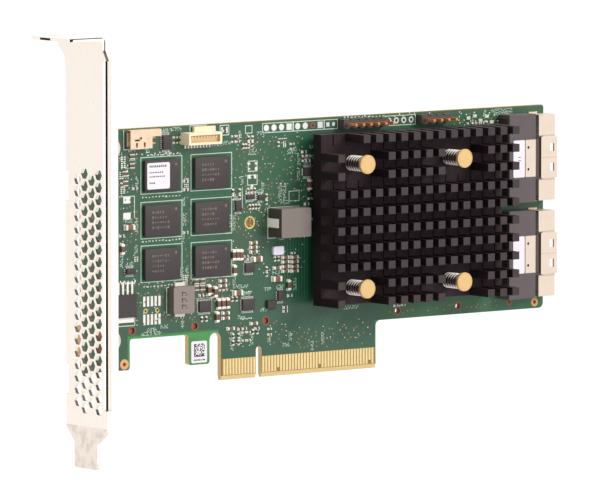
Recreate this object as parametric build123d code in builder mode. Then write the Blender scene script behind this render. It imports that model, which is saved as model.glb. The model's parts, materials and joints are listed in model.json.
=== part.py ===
from build123d import *
import math
import os

os.makedirs("parts", exist_ok=True)

# Frame: X runs along the card from the bracket to the cable ports, Z up, gold contacts down.
# The component side faces -Y. The origin is the middle of the key notch, half way through the
# board, level with the bottom edge of the gold contacts.

# Circuit board
BOARD_T = 1.57
BOARD_LEFT = -57.9
BOARD_LENGTH = 155.65
BOARD_TOP = 68.9
BODY_BOTTOM = 12.9            # bottom edge of the board beside its tabs
LEG_RIGHT = -42.7             # leg behind the bracket
LEG_BOTTOM = 4.7
LABEL_TAB = (-23.4, -16.4)
TAB_LEFT = -12.6              # gold contact tab
TAB_RIGHT = 39.6
KEY_WIDTH = 1.9
KEY_TOP = 8.4
CORNER_R = 0.8
TAB_CORNER_R = 1.5
BEVEL_DEPTH = 0.42
BEVEL_HEIGHT = 1.15
SEAT = 0.02                   # clearance round a part that passes through another
BOARD_RIGHT = BOARD_LEFT + BOARD_LENGTH

# Gold contacts: 11 on one side of the key, 38 on the other
PAD_PITCH = 1.0
PAD_WIDTH = 0.7
PAD_TOP = 5.6
PAD_BOTTOM = 1.3
SHORT_PAD_BOTTOM = 2.3
PAD_T = 0.05
FIRST_GROUP = 11
SECOND_GROUP = 38
KEY_TO_PAD = 1.5              # key centre to the middle of the nearest contact
SHORT_FRONT = (17, 31, 48)
SHORT_BACK = (1,)

# Holes in the board
SLOT_HOLE_R = 0.85            # row of plated holes above the tabs
SLOT_HOLE_Z = 15.1
SLOT_HOLE_X = (-42.0, -21.3, 2.35, 47.1, 68.0)
EYELET_HOLE = (-3.0, 41.8, 1.3)
EYELET_DEPTH = 1.0
HEADER_PITCH = 2.54
HEADER_HOLE_R = 0.5
HEADER_HOLE_SIDES = 8
HEADER_Z = 66.9
LONG_HEADER = (28.1, 6)       # first pin and count
SHORT_HEADER = (54.8, 4)

# Bracket: one folded sheet
SHEET_T = 0.86
BRACKET_OUTER_X = -61.6
BRACKET_WIDTH = 18.42
BRACKET_BACK_Y = 1.8
BRACKET_TOP = 94.5
SCREW_TAB_REACH = 11.43
SCREW_TAB_Y = (-14.95, 5.0)
SCREW_NOTCH_W = 4.42
SCREW_NOTCH_DEPTH = 4.7       # from the tab's edge to the middle of the screw
SCREW_NOTCH_FROM_FACE = 6.35
TAB_CHAMFER = 2.6             # back outer corner of the screw tab
FLANGE_DEPTH = 3.7
FLANGE_Z = (-3.7, 88.4)
SHOULDER_Z = -9.2
TONGUE_START_Z = -12.75
TONGUE_END_Z = -19.6
TONGUE_WIDTH = 10.19
TONGUE_MID_Y = -7.0
BEND_R = 0.6                  # inside radius of the folds
RELIEF_HEIGHT = 7.75
RELIEF_DEPTH = 1.15
RELIEF_BELOW_EAR = 9.45       # from the ear's screw down to the middle of the relief
EAR_HEIGHT = 9.0
EAR_REACH = 15.0
MOUNT_HOLE_X = -49.6
MOUNT_HOLES_Z = (12.9, 64.0)
VENT_ACROSS = 2.65            # vent hexagon, flat to flat
VENT_ROW_PITCH = 3.26
VENT_COLUMN_PITCH = 3.15
VENT_MID_Y = -8.2
VENT_MID_Z = 27.3
VENT_COUNTS = (19, 20, 19, 20)

# Fixing screws of the bracket
SCREW_R = 1.5
SCREW_HEAD_R = 2.75
SCREW_HEAD_T = 1.6
SCREW_END = 0.8               # what stands out behind the ear
DRIVE_WIDTH = 0.6
DRIVE_LENGTH = 3.0
DRIVE_DEPTH = 0.8

# Heatsink and what is under it
SINK_COLUMNS = 15
SINK_ROWS = 10
SINK_PITCH_X = 4.265
SINK_PITCH_Z = 4.894
FIN_WIDTH = 2.3
FIN_HEIGHT = 2.1
SINK_FIRST_X = 17.34
SINK_FIRST_Z = 19.65
SINK_BASE = 2.9               # height of the base's underside over the board
SINK_FLOOR = 6.1
STUB = 0.3                    # what the cross cuts leave of the fins
FIN_TIP = 14.0
PUSH_PIN_X = (26.2, 59.4)
PUSH_PIN_Z = (23.3, 56.85)
PIN_HEAD_R = 2.55
PIN_HEAD_T = 1.1
PIN_SHANK_R = 1.2
PIN_HOLE_R = 1.6
PIN_BARB_R = 1.95
PIN_BARB_LENGTH = 3.0
PIN_BARB_TAPER = 22
BARB_CLEARANCE = 0.15
SPRING_R = 2.15
SPRING_WIRE_R = 0.26
HEAD_SIDES = 24
ROUND_SIDES = 12              # sides of the small hidden round shapes
CHIP_SIZE = 30.0
CHIP_T = 1.2
LID_SIZE = 24.0
PAD_THICKNESS = 0.4

# Memory chips
MEMORY_X = (-32.7, -16.2)
MEMORY_Z = (32.5, 44.1, 56.0)
MEMORY_SIZE = (11.4, 8.3)
MEMORY_T = 1.2
MEMORY_STANDOFF = 0.3
MEMORY_INSET = 0.5
LABEL_T = 0.08
LABEL_CORNER = 0.3
CHIP_LABEL = (-34.1, 56.0, 7.4, 7.0)
BOARD_LABEL = (-19.9, 8.1, 5.2, 5.8)

# Cable ports, measured in from the board's right edge and up from its lower edge
SHELL_LENGTH = 23.5
SHELL_GAP = 2.9               # between the two shells
LOWER_SHELL_START = 3.75      # from the board's lower edge to the lower shell
SHELL_X = (BOARD_RIGHT - 5.4, BOARD_RIGHT + 0.25)
SHELL_WALL = 0.3
SHELL_BACK_WALL = 0.25
PORT_Z = [BODY_BOTTOM + LOWER_SHELL_START + SHELL_LENGTH / 2 + i * (SHELL_LENGTH + SHELL_GAP) for i in (0, 1)]
PORT_LENGTH = SHELL_LENGTH + 0.7
PORT_HEIGHT = 4.8
PORT_X = (BOARD_RIGHT - 15.65, BOARD_RIGHT - 6.5)
NOSE_REACH = 0.8              # what the housing's nose reaches into the shell
NOSE_LENGTH = 10.4
HOOD_LENGTH = 11.3            # raised middle of the shell
HOOD_START = 0.65             # the hood starts behind the shell's edge, with a slit at each end
HOOD_SLIT = 0.3
HOOD_RISE = 0.25
HOOD_REACH = 0.55
LATCH_X = (PORT_X[1] - 3.5, PORT_X[1])
LATCH_LENGTH = 10.2
LATCH_T = 0.5
LATCH_HOLE_R = 0.38
LATCH_HOLE_X = LATCH_X[0] + 0.95
LATCH_HOLE_Z = 3.0
WINDOW = (SHELL_X[1] - 1.2, 1.5, 2.2)     # middle, width along X and length of the shell's windows
WINDOW_Z = 2.7
SLOT_HEIGHT = 1.2
SLOT_LENGTH = PORT_LENGTH - 4.2
SLOT_DEPTH = 7.0
PORT_LABEL = (PORT_X[0] + 3.3, 4.0, 10.2)
LEAD_PITCH = 0.6
LEAD_COUNT = round((PORT_LENGTH - 2.0) / LEAD_PITCH)
LEAD_WIDTH = 0.3
LEAD_T = 0.2
LEAD_FOOT = 0.9
LEAD_RISE = 3.9
FOOT_LENGTH = 3.0
FOOT_REACH = 0.55
FOOT_T = 0.3

# Battery connector, its mouth towards the bracket
BATTERY_X = (-43.8, -36.6)
BATTERY_Z = (63.5, 68.5)
BATTERY_HEIGHT = 2.0
BATTERY_WALL = 0.35
BATTERY_REAR = (3.2, 1.9, 1.7)                 # length, width and height of the part behind
BATTERY_PIN_Z = (64.7, 66.2)
BATTERY_TAIL = (2.1, 0.5, 0.4)
BATTERY_WINDOWS = ((-1.4, 2.3, 1.6, 0.5), (-0.2, 2.8, 0.7, 0.6))    # from the middle and the lower edge
BATTERY_SLITS = ((-1.5, 1.0, 0.55, 1.35), (1.05, 1.0, 0.55, 1.35))
# Sensor connector, open towards the viewer
SENSOR_X = (-25.95, -15.0)
SENSOR_Z = (63.8, 67.0)
SENSOR_HEIGHT = 3.9
SENSOR_WALL = 0.65
SENSOR_DEPTH = 0.9
SENSOR_RIB_Z = 68.4
SENSOR_RIB = (7.0, 0.9)                        # length and height of the low rib above the shroud
SENSOR_PINS = 9
SENSOR_PITCH = 1.0
SENSOR_PIN_RISE = 0.45                         # pins stand nearer to the shroud's upper edge
SENSOR_FOOT = 1.1

# Pin headers
HEADER_BODY = 2.54
HEADER_DEPTH = 2.5
PIN_SQUARE = 0.64
PIN_TIP = 6.5
PIN_TAIL = 1.6

# Inductors
SMALL_COIL = (-26.55, 22.55, 6.85, 7.3, 2.4)
SMALL_COIL_TERMINAL = (3.2, 0.9, 0.5)
LARGE_COIL = (8.25, 41.5, 9.9, 7.75, 5.9)
LARGE_COIL_CLIP = (2.4, 4.6, 0.3)

# Power transistor with four leads and a cooling pad
POWER_BODY = (-44.3, 21.85, 6.6, 6.1, 1.1)
POWER_LEADS = 4
POWER_LEAD_PITCH = 1.5
POWER_LEAD = (0.6, 3.3, 0.25)
POWER_PAD = (5.6, 1.4, 0.2)

# Small chips: x, z, width, height on the board, thickness
SMALL_CHIPS = (
    (-30.9, 64.7, 2.6, 3.9, 0.9), (-7.1, 46.5, 2.0, 3.0, 0.8), (-3.4, 29.7, 3.0, 2.6, 0.8),
    (-3.9, 19.8, 4.0, 3.1, 0.9), (-18.3, 20.2, 4.0, 3.0, 0.9), (7.1, 21.6, 2.1, 2.9, 0.9),
    (16.3, 54.5, 3.0, 2.4, 0.9), (-42.8, 31.0, 2.8, 1.6, 1.0), (-3.1, 48.7, 2.6, 1.3, 0.8),
    (0.4, 48.4, 2.0, 1.5, 0.8))
DIODE = (3.9, 19.4, 3.0, 2.3, 1.0)
CRYSTAL = (6.1, 33.8, 3.5, 2.3, 0.9)

# Capacitors and resistors: x, z, length, width; the ends of each lie along its length
LYING_CAPS = (
    (-1.9, 36.3), (-1.9, 35.1), (-1.9, 33.9), (8.8, 31.8), (11.9, 31.7), (8.8, 30.6), (11.9, 30.5),
    (8.8, 29.3), (11.9, 29.2), (8.8, 28.1), (11.9, 28.0), (6.0, 29.1), (-12.1, 26.7), (-12.1, 25.4),
    (-9.5, 13.7), (-1.8, 14.6), (-11.2, 16.6), (-11.2, 18.0))
LYING_CAP_SIZE = (2.3, 0.8, 0.6)
STANDING_CAPS = (
    (-8.6, 33.4), (-7.3, 33.4), (-6.1, 33.3), (-13.6, 20.6), (-12.1, 20.6), (-10.6, 20.6),
    (-8.3, 29.3), (9.9, 24.3), (-14.1, 17.1), (-45.3, 37.0), (17.0, 51.0), (-14.7, 23.9),
    (-16.8, 24.5))
STANDING_CAP_SIZE = (1.1, 2.7, 0.8)
LARGE_CAPS = ((-0.8, 31.9), (5.8, 26.2), (-7.3, 23.2), (-43.0, 42.7))
LARGE_CAP_SIZE = (2.9, 1.4, 1.0)
TINY_PARTS = (
    (8.8, 18.3), (8.8, 17.3), (-19.3, 23.2), (-0.7, 13.2), (-6.4, 13.4), (-4.9, 13.4), (15.1, 59.9),
    (16.2, 57.6), (16.0, 45.8), (10.3, 21.4), (18.2, 41.7), (-4.4, 32.8), (-45.4, 40.5),
    (-24.4, 54.0), (-24.4, 51.7), (-41.1, 52.9), (-24.4, 40.3), (-11.5, 66.8))
TINY_SIZE = (1.3, 0.7, 0.5)
RESISTOR_ARRAYS = (
    (-42.0, 61.4), (-42.0, 59.0), (-44.2, 57.0), (-44.2, 54.4), (-20.9, 27.0), (-18.9, 27.0),
    (-20.9, 25.3), (-18.9, 25.3))
ARRAY_SIZE = (1.7, 1.5, 0.45)
# Indicator lights, from the board's upper right corner
INDICATORS = ((-26.55, -2.5), (-24.35, -2.0), (-22.35, -3.3), (-20.15, -2.3), (-18.45, -3.9), (-25.35, -5.0),
              (-21.35, -5.7), (-18.75, -6.3))
INDICATOR_SIZE = (1.2, 0.8, 0.5)

# Small capacitors under the controller, on the back of the board
BACK_GRID = (4, 4)
BACK_GRID_PITCH = 5.2
BACK_CAP_SIZE = (1.1, 0.6, 0.5)

FRONT_Y = -BOARD_T / 2
BACK_Y = BOARD_T / 2
SINK_LEFT = SINK_FIRST_X - FIN_WIDTH / 2
SINK_RIGHT = SINK_FIRST_X + (SINK_COLUMNS - 1) * SINK_PITCH_X + FIN_WIDTH / 2
SINK_BOTTOM = SINK_FIRST_Z - FIN_HEIGHT / 2
SINK_TOP = SINK_FIRST_Z + (SINK_ROWS - 1) * SINK_PITCH_Z + FIN_HEIGHT / 2
SINK_MID_X = (PUSH_PIN_X[0] + PUSH_PIN_X[1]) / 2
SINK_MID_Z = (PUSH_PIN_Z[0] + PUSH_PIN_Z[1]) / 2
BRACKET_INNER_X = BRACKET_OUTER_X + SHEET_T
BRACKET_FRONT_Y = BRACKET_BACK_Y - BRACKET_WIDTH
PUSH_PINS = [(x, z) for x in PUSH_PIN_X for z in PUSH_PIN_Z]


def over_board(height=0.0):
    """Plane over the component side: local x runs along the card, local y is up, out is -Y."""
    return Plane(origin=(0, FRONT_Y - height, 0), x_dir=(1, 0, 0), z_dir=(0, -1, 0))


def behind_board(height=0.0):
    """The same plane behind the card; extrude by a negative amount to go further back."""
    return Plane(origin=(0, BACK_Y + height, 0), x_dir=(1, 0, 0), z_dir=(0, -1, 0))


def corners_at(vertices, points):
    """The vertices that lie at the given points of a sketch."""
    return [v for v in vertices
            if any(abs(v.X - x) < 0.01 and abs(v.Y - y) < 0.01 for x, y in points)]


def row(first, count, pitch=HEADER_PITCH, z=HEADER_Z):
    """Places along a row of pins or holes."""
    return [(first + i * pitch, z) for i in range(count)]


def boxes(places, size, height=0.0):
    """Blocks standing over the component side, one at each place."""
    width, tall, thick = size
    with BuildPart() as blocks:
        with BuildSketch(over_board(height)):
            with Locations(*places):
                Rectangle(width, tall)
        extrude(amount=thick)
    return blocks.part


def contact_places(short):
    """Centre and lower end of each contact, counted from the bracket."""
    places = []
    for n in range(1, FIRST_GROUP + SECOND_GROUP + 1):
        if n <= FIRST_GROUP:
            x = -KEY_TO_PAD - (FIRST_GROUP - n) * PAD_PITCH
        else:
            x = KEY_TO_PAD + (n - FIRST_GROUP - 1) * PAD_PITCH
        places.append((x, SHORT_PAD_BOTTOM if n in short else PAD_BOTTOM))
    return places


# Board outline with its leg, label tab, contact tab and key notch
with BuildPart() as circuit_board:
    outline = [
        (BOARD_LEFT, BOARD_TOP), (BOARD_LEFT, LEG_BOTTOM), (LEG_RIGHT, LEG_BOTTOM),
        (LEG_RIGHT, BODY_BOTTOM), (LABEL_TAB[0], BODY_BOTTOM), (LABEL_TAB[0], LEG_BOTTOM),
        (LABEL_TAB[1], LEG_BOTTOM), (LABEL_TAB[1], BODY_BOTTOM), (TAB_LEFT, BODY_BOTTOM),
        (TAB_LEFT, 0), (TAB_RIGHT, 0), (TAB_RIGHT, BODY_BOTTOM), (BOARD_RIGHT, BODY_BOTTOM),
        (BOARD_RIGHT, BOARD_TOP)]
    with BuildSketch(over_board()) as board_face:
        with BuildLine():
            Polyline(*outline, close=True)
        make_face()
        slot_r = (TAB_LEFT - LABEL_TAB[1]) / 2 - SEAT
        fillet(corners_at(board_face.vertices(), [outline[7], outline[8]]), slot_r)
        fillet(corners_at(board_face.vertices(), [outline[2], outline[3], outline[4], outline[5],
                                                  outline[6], outline[13]]), CORNER_R)
        fillet(corners_at(board_face.vertices(), [outline[11], outline[12]]), TAB_CORNER_R)
        with Locations((0, (KEY_TOP - KEY_WIDTH / 2) / 2)):
            Rectangle(KEY_WIDTH, KEY_TOP - KEY_WIDTH / 2, mode=Mode.SUBTRACT)
        with Locations((0, KEY_TOP - KEY_WIDTH / 2)):
            Circle(KEY_WIDTH / 2, mode=Mode.SUBTRACT)
        with Locations(*[(x, SLOT_HOLE_Z) for x in SLOT_HOLE_X]):
            Circle(SLOT_HOLE_R, mode=Mode.SUBTRACT)
        with Locations(*[(MOUNT_HOLE_X, z) for z in MOUNT_HOLES_Z]):
            Circle(SCREW_R + SEAT, mode=Mode.SUBTRACT)
        with Locations(*PUSH_PINS):
            Circle(PIN_HOLE_R, mode=Mode.SUBTRACT)
        for first, count in (LONG_HEADER, SHORT_HEADER):
            with Locations(*row(first, count)):
                RegularPolygon(HEADER_HOLE_R, HEADER_HOLE_SIDES, rotation=22.5, mode=Mode.SUBTRACT)
    extrude(amount=-BOARD_T)
    with BuildSketch(over_board()):
        with Locations(EYELET_HOLE[:2]):
            Circle(EYELET_HOLE[2])
    extrude(amount=-EYELET_DEPTH, mode=Mode.SUBTRACT)
    with BuildSketch(Plane.YZ.offset(TAB_LEFT)):
        for side in (-1, 1):
            with BuildLine():
                Polyline((side * BACK_Y, 0), (side * (BACK_Y - BEVEL_DEPTH), 0),
                         (side * BACK_Y, BEVEL_HEIGHT), close=True)
            make_face()
    extrude(amount=TAB_RIGHT - TAB_LEFT, mode=Mode.SUBTRACT)

circuit_board.part.label = "circuit_board"
export_step(circuit_board.part, "parts/circuit_board.step")

# Gold contacts on the component side
with BuildPart() as edge_contacts_front:
    with BuildSketch(over_board()):
        for x, low in contact_places(SHORT_FRONT):
            with Locations((x, (PAD_TOP + low) / 2)):
                Rectangle(PAD_WIDTH, PAD_TOP - low)
    extrude(amount=PAD_T)

edge_contacts_front.part.label = "edge_contacts_front"
export_step(edge_contacts_front.part, "parts/edge_contacts_front.step")

# Gold contacts on the back
with BuildPart() as edge_contacts_back:
    with BuildSketch(behind_board()):
        for x, low in contact_places(SHORT_BACK):
            with Locations((x, (PAD_TOP + low) / 2)):
                Rectangle(PAD_WIDTH, PAD_TOP - low)
    extrude(amount=-PAD_T)

edge_contacts_back.part.label = "edge_contacts_back"
export_step(edge_contacts_back.part, "parts/edge_contacts_back.step")

# Bracket: the long face with its tongue, the folded flange, the screw tab and the two ears
with BuildPart() as bracket:
    tongue = (TONGUE_MID_Y - TONGUE_WIDTH / 2, TONGUE_MID_Y + TONGUE_WIDTH / 2)
    fold = BEND_R + SHEET_T
    face_top = BRACKET_TOP - fold
    relief_mid = [z - RELIEF_BELOW_EAR for z in MOUNT_HOLES_Z]
    face_points = [
        (BRACKET_BACK_Y, SHOULDER_Z), (tongue[1], TONGUE_START_Z), (tongue[1], TONGUE_END_Z),
        (tongue[0], TONGUE_END_Z), (tongue[0], TONGUE_START_Z), (BRACKET_FRONT_Y, SHOULDER_Z),
        (BRACKET_FRONT_Y, FLANGE_Z[1]), (SCREW_TAB_Y[0], FLANGE_Z[1] + 2.6), (SCREW_TAB_Y[0], face_top),
        (SCREW_TAB_Y[1], face_top), (SCREW_TAB_Y[1], face_top - 1.4), (BRACKET_BACK_Y, FLANGE_Z[1])]
    with BuildSketch(Plane.YZ.offset(BRACKET_OUTER_X)) as bracket_face:
        with BuildLine():
            Polyline(*face_points, close=True)
        make_face()
        fillet(corners_at(bracket_face.vertices(), [face_points[2], face_points[3]]), CORNER_R)
        for z in relief_mid:
            with Locations((BRACKET_BACK_Y - RELIEF_DEPTH / 2, z)):
                Rectangle(RELIEF_DEPTH, RELIEF_HEIGHT, mode=Mode.SUBTRACT)
        for i, count in enumerate(VENT_COUNTS):
            y = VENT_MID_Y + ((len(VENT_COUNTS) - 1) / 2 - i) * VENT_COLUMN_PITCH
            with Locations((y, VENT_MID_Z)):
                with GridLocations(1, VENT_ROW_PITCH, 1, count):
                    RegularPolygon(VENT_ACROSS / 2, 6, major_radius=False, rotation=0,
                                   mode=Mode.SUBTRACT)
    extrude(amount=SHEET_T)
    # Flange along the near edge, folded towards the board
    with BuildSketch(Plane.XY.offset(FLANGE_Z[0])):
        with BuildLine():
            near = BRACKET_FRONT_Y
            Polyline((BRACKET_OUTER_X + fold, near), (BRACKET_OUTER_X + FLANGE_DEPTH, near),
                     (BRACKET_OUTER_X + FLANGE_DEPTH, near + SHEET_T),
                     (BRACKET_OUTER_X + fold, near + SHEET_T))
            RadiusArc((BRACKET_OUTER_X + fold, near + SHEET_T),
                      (BRACKET_INNER_X, near + fold), -BEND_R)
            Line((BRACKET_INNER_X, near + fold), (BRACKET_OUTER_X, near + fold))
            RadiusArc((BRACKET_OUTER_X, near + fold), (BRACKET_OUTER_X + fold, near), fold)
        make_face()
    extrude(amount=FLANGE_Z[1] - FLANGE_Z[0])
    # Square corner of the face outside the fold is cut away
    with BuildSketch(Plane.XY.offset(FLANGE_Z[0])):
        with BuildLine():
            Line((BRACKET_OUTER_X, near + fold), (BRACKET_OUTER_X, near))
            Line((BRACKET_OUTER_X, near), (BRACKET_OUTER_X + fold, near))
            RadiusArc((BRACKET_OUTER_X + fold, near), (BRACKET_OUTER_X, near + fold), -fold)
        make_face()
    extrude(amount=FLANGE_Z[1] - FLANGE_Z[0], mode=Mode.SUBTRACT)
    with BuildSketch(Plane.XZ.offset(-near)):
        with BuildLine():
            edge_x = BRACKET_OUTER_X + FLANGE_DEPTH
            Polyline((edge_x, FLANGE_Z[1] - CORNER_R), (edge_x, FLANGE_Z[1]), (edge_x - CORNER_R, FLANGE_Z[1]), close=True)
        make_face()
    extrude(amount=-SHEET_T, mode=Mode.SUBTRACT)
    # Screw tab, folded outwards at the top
    with BuildSketch(Plane.XZ.offset(-SCREW_TAB_Y[0])):
        with BuildLine():
            tip = BRACKET_INNER_X - SCREW_TAB_REACH
            Polyline((BRACKET_OUTER_X - BEND_R, BRACKET_TOP), (tip, BRACKET_TOP),
                     (tip, BRACKET_TOP - SHEET_T), (BRACKET_OUTER_X - BEND_R, BRACKET_TOP - SHEET_T))
            RadiusArc((BRACKET_OUTER_X - BEND_R, BRACKET_TOP - SHEET_T),
                      (BRACKET_OUTER_X, face_top), BEND_R)
            Line((BRACKET_OUTER_X, face_top), (BRACKET_INNER_X, face_top))
            RadiusArc((BRACKET_INNER_X, face_top), (BRACKET_OUTER_X - BEND_R, BRACKET_TOP), -fold)
        make_face()
    extrude(amount=-(SCREW_TAB_Y[1] - SCREW_TAB_Y[0]))
    notch_x = BRACKET_INNER_X - SCREW_NOTCH_FROM_FACE
    notch_y = SCREW_TAB_Y[1] - SCREW_NOTCH_DEPTH
    with BuildSketch(Plane.XY.offset(BRACKET_TOP - fold)):
        with Locations((notch_x, notch_y)):
            Circle(SCREW_NOTCH_W / 2)
        with Locations((notch_x, notch_y + SCREW_NOTCH_DEPTH / 2)):
            Rectangle(SCREW_NOTCH_W, SCREW_NOTCH_DEPTH)
    extrude(amount=2 * fold, mode=Mode.SUBTRACT)
    tab_ends = bracket.edges().filter_by(Axis.Z).group_by(Axis.X)[0].sort_by(Axis.Y)
    chamfer(tab_ends[-1], TAB_CHAMFER)
    fillet(tab_ends[0], CORNER_R)
    # Two ears behind the board
    for z in MOUNT_HOLES_Z:
        with BuildSketch(Plane.XY.offset(z - EAR_HEIGHT / 2)):
            with BuildLine():
                Polyline((BRACKET_INNER_X, BACK_Y - BEND_R), (BRACKET_INNER_X - SHEET_T / 2, BACK_Y - BEND_R),
                         (BRACKET_INNER_X - SHEET_T / 2, BACK_Y + SHEET_T),
                         (BRACKET_INNER_X + EAR_REACH, BACK_Y + SHEET_T),
                         (BRACKET_INNER_X + EAR_REACH, BACK_Y), (BRACKET_INNER_X + BEND_R, BACK_Y))
                RadiusArc((BRACKET_INNER_X + BEND_R, BACK_Y), (BRACKET_INNER_X, BACK_Y - BEND_R), BEND_R)
            make_face()
        extrude(amount=EAR_HEIGHT)
    with BuildSketch(behind_board()):
        with Locations(*[(MOUNT_HOLE_X, z) for z in MOUNT_HOLES_Z]):
            Circle(SCREW_R + SEAT)
    extrude(amount=-2 * SHEET_T, mode=Mode.SUBTRACT)

bracket.part.label = "bracket"
export_step(bracket.part, "parts/bracket.step")

# Two screws that clamp the board to the ears
with BuildPart() as bracket_screws:
    with BuildSketch(over_board(SCREW_HEAD_T)):
        with Locations(*[(MOUNT_HOLE_X, z) for z in MOUNT_HOLES_Z]):
            RegularPolygon(SCREW_R, ROUND_SIDES)
    extrude(amount=-(SCREW_HEAD_T + BOARD_T + SHEET_T + SCREW_END))
    with BuildSketch(over_board()):
        with Locations(*[(MOUNT_HOLE_X, z) for z in MOUNT_HOLES_Z]):
            Circle(SCREW_HEAD_R)
    extrude(amount=SCREW_HEAD_T)
    with BuildSketch(over_board(SCREW_HEAD_T)):
        with Locations(*[(MOUNT_HOLE_X, z) for z in MOUNT_HOLES_Z]):
            Rectangle(DRIVE_WIDTH, DRIVE_LENGTH)
            Rectangle(DRIVE_LENGTH, DRIVE_WIDTH)
    extrude(amount=-DRIVE_DEPTH, mode=Mode.SUBTRACT)

bracket_screws.part.label = "bracket_screws"
export_step(bracket_screws.part, "parts/bracket_screws.step")

# Heatsink: an extruded comb of fins, cut across into pins, with pins left out round the push pins
with BuildPart() as heatsink:
    mid_x = (SINK_LEFT + SINK_RIGHT) / 2
    mid_z = (SINK_BOTTOM + SINK_TOP) / 2
    columns = [SINK_FIRST_X + i * SINK_PITCH_X for i in range(SINK_COLUMNS)]
    rows = [SINK_FIRST_Z + i * SINK_PITCH_Z for i in range(SINK_ROWS)]
    clear_x = 1.6 * SINK_PITCH_X
    clear_z = SINK_PITCH_Z
    with BuildSketch(over_board(SINK_BASE)):
        with Locations((mid_x, mid_z)):
            Rectangle(SINK_RIGHT - SINK_LEFT, SINK_TOP - SINK_BOTTOM)
    extrude(amount=SINK_FLOOR - SINK_BASE)
    with BuildSketch(over_board(SINK_FLOOR)):
        with Locations(*[(x, mid_z) for x in columns]):
            Rectangle(FIN_WIDTH, SINK_TOP - SINK_BOTTOM)
        for x, z in PUSH_PINS:
            with Locations((x, z)):
                Rectangle(2 * clear_x, 2 * clear_z, mode=Mode.SUBTRACT)
    extrude(amount=STUB)
    fin_places = [
        (x, z) for x in columns for z in rows
        if not any(abs(x - px) < clear_x and abs(z - pz) < clear_z for px, pz in PUSH_PINS)
        and not (x in columns[:2] and z == rows[-1])]
    with BuildSketch(over_board(SINK_FLOOR)):
        with Locations(*fin_places):
            Rectangle(FIN_WIDTH, FIN_HEIGHT)
    extrude(amount=FIN_TIP - SINK_FLOOR)
    with BuildSketch(over_board()):
        with Locations(*PUSH_PINS):
            Circle(PIN_HOLE_R)
    extrude(amount=FIN_TIP, mode=Mode.SUBTRACT)

heatsink.part.label = "heatsink"
export_step(heatsink.part, "parts/heatsink.step")

# Spring-loaded push pins: flat head, shank through base and board, barbed end behind the board
with BuildPart() as heatsink_pins:
    with BuildSketch(over_board(FIN_TIP - PIN_HEAD_T)):
        with Locations(*PUSH_PINS):
            RegularPolygon(PIN_HEAD_R, HEAD_SIDES)
    extrude(amount=PIN_HEAD_T)
    with BuildSketch(over_board(FIN_TIP - PIN_HEAD_T)):
        with Locations(*PUSH_PINS):
            RegularPolygon(PIN_SHANK_R, ROUND_SIDES)
    extrude(amount=-(FIN_TIP - PIN_HEAD_T + BOARD_T + BARB_CLEARANCE))
    with BuildSketch(behind_board(BARB_CLEARANCE)):
        with Locations(*PUSH_PINS):
            RegularPolygon(PIN_BARB_R, ROUND_SIDES)
    extrude(amount=-PIN_BARB_LENGTH, taper=PIN_BARB_TAPER)

heatsink_pins.part.label = "heatsink_pins"
export_step(heatsink_pins.part, "parts/heatsink_pins.step")

# Compression springs between the base and the pin heads, as plain sleeves
with BuildPart() as heatsink_springs:
    spring_length = FIN_TIP - PIN_HEAD_T - SINK_FLOOR
    with BuildSketch(over_board(SINK_FLOOR)):
        with Locations(*PUSH_PINS):
            RegularPolygon(SPRING_R, ROUND_SIDES)
            RegularPolygon(SPRING_R - 2 * SPRING_WIRE_R, ROUND_SIDES, mode=Mode.SUBTRACT)
    extrude(amount=spring_length)

heatsink_springs.part.label = "heatsink_springs"
export_step(heatsink_springs.part, "parts/heatsink_springs.step")

# Controller under the heatsink: substrate and lid
with BuildPart() as controller_chip:
    add(boxes([(SINK_MID_X, SINK_MID_Z)], (CHIP_SIZE, CHIP_SIZE, CHIP_T)))
    lid_t = SINK_BASE - PAD_THICKNESS - CHIP_T
    add(boxes([(SINK_MID_X, SINK_MID_Z)], (LID_SIZE, LID_SIZE, lid_t), CHIP_T))

controller_chip.part.label = "controller_chip"
export_step(controller_chip.part, "parts/controller_chip.step")

with BuildPart() as thermal_pad:
    add(boxes([(SINK_MID_X, SINK_MID_Z)], (LID_SIZE, LID_SIZE, PAD_THICKNESS), SINK_BASE - PAD_THICKNESS))

thermal_pad.part.label = "thermal_pad"
export_step(thermal_pad.part, "parts/thermal_pad.step")

# Six memory chips, each body wider than the solder balls that it stands on
with BuildPart() as memory_chips:
    memory_places = [(x, z) for x in MEMORY_X for z in MEMORY_Z]
    inset = 2 * MEMORY_INSET
    add(boxes(memory_places, (MEMORY_SIZE[0] - inset, MEMORY_SIZE[1] - inset, MEMORY_STANDOFF)))
    add(boxes(memory_places, (*MEMORY_SIZE, MEMORY_T - MEMORY_STANDOFF), MEMORY_STANDOFF))

memory_chips.part.label = "memory_chips"
export_step(memory_chips.part, "parts/memory_chips.step")

# Paper labels
for node, (x, z, width, tall), height in (("chip_label", CHIP_LABEL, MEMORY_T),
                                          ("board_label", BOARD_LABEL, 0.0)):
    with BuildPart() as paper:
        with BuildSketch(over_board(height)) as label_shape:
            with Locations((x, z)):
                Rectangle(width, tall)
            chamfer(label_shape.vertices(), LABEL_CORNER)
        extrude(amount=LABEL_T)
    paper.part.label = node
    export_step(paper.part, f"parts/{node}.step")

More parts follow.
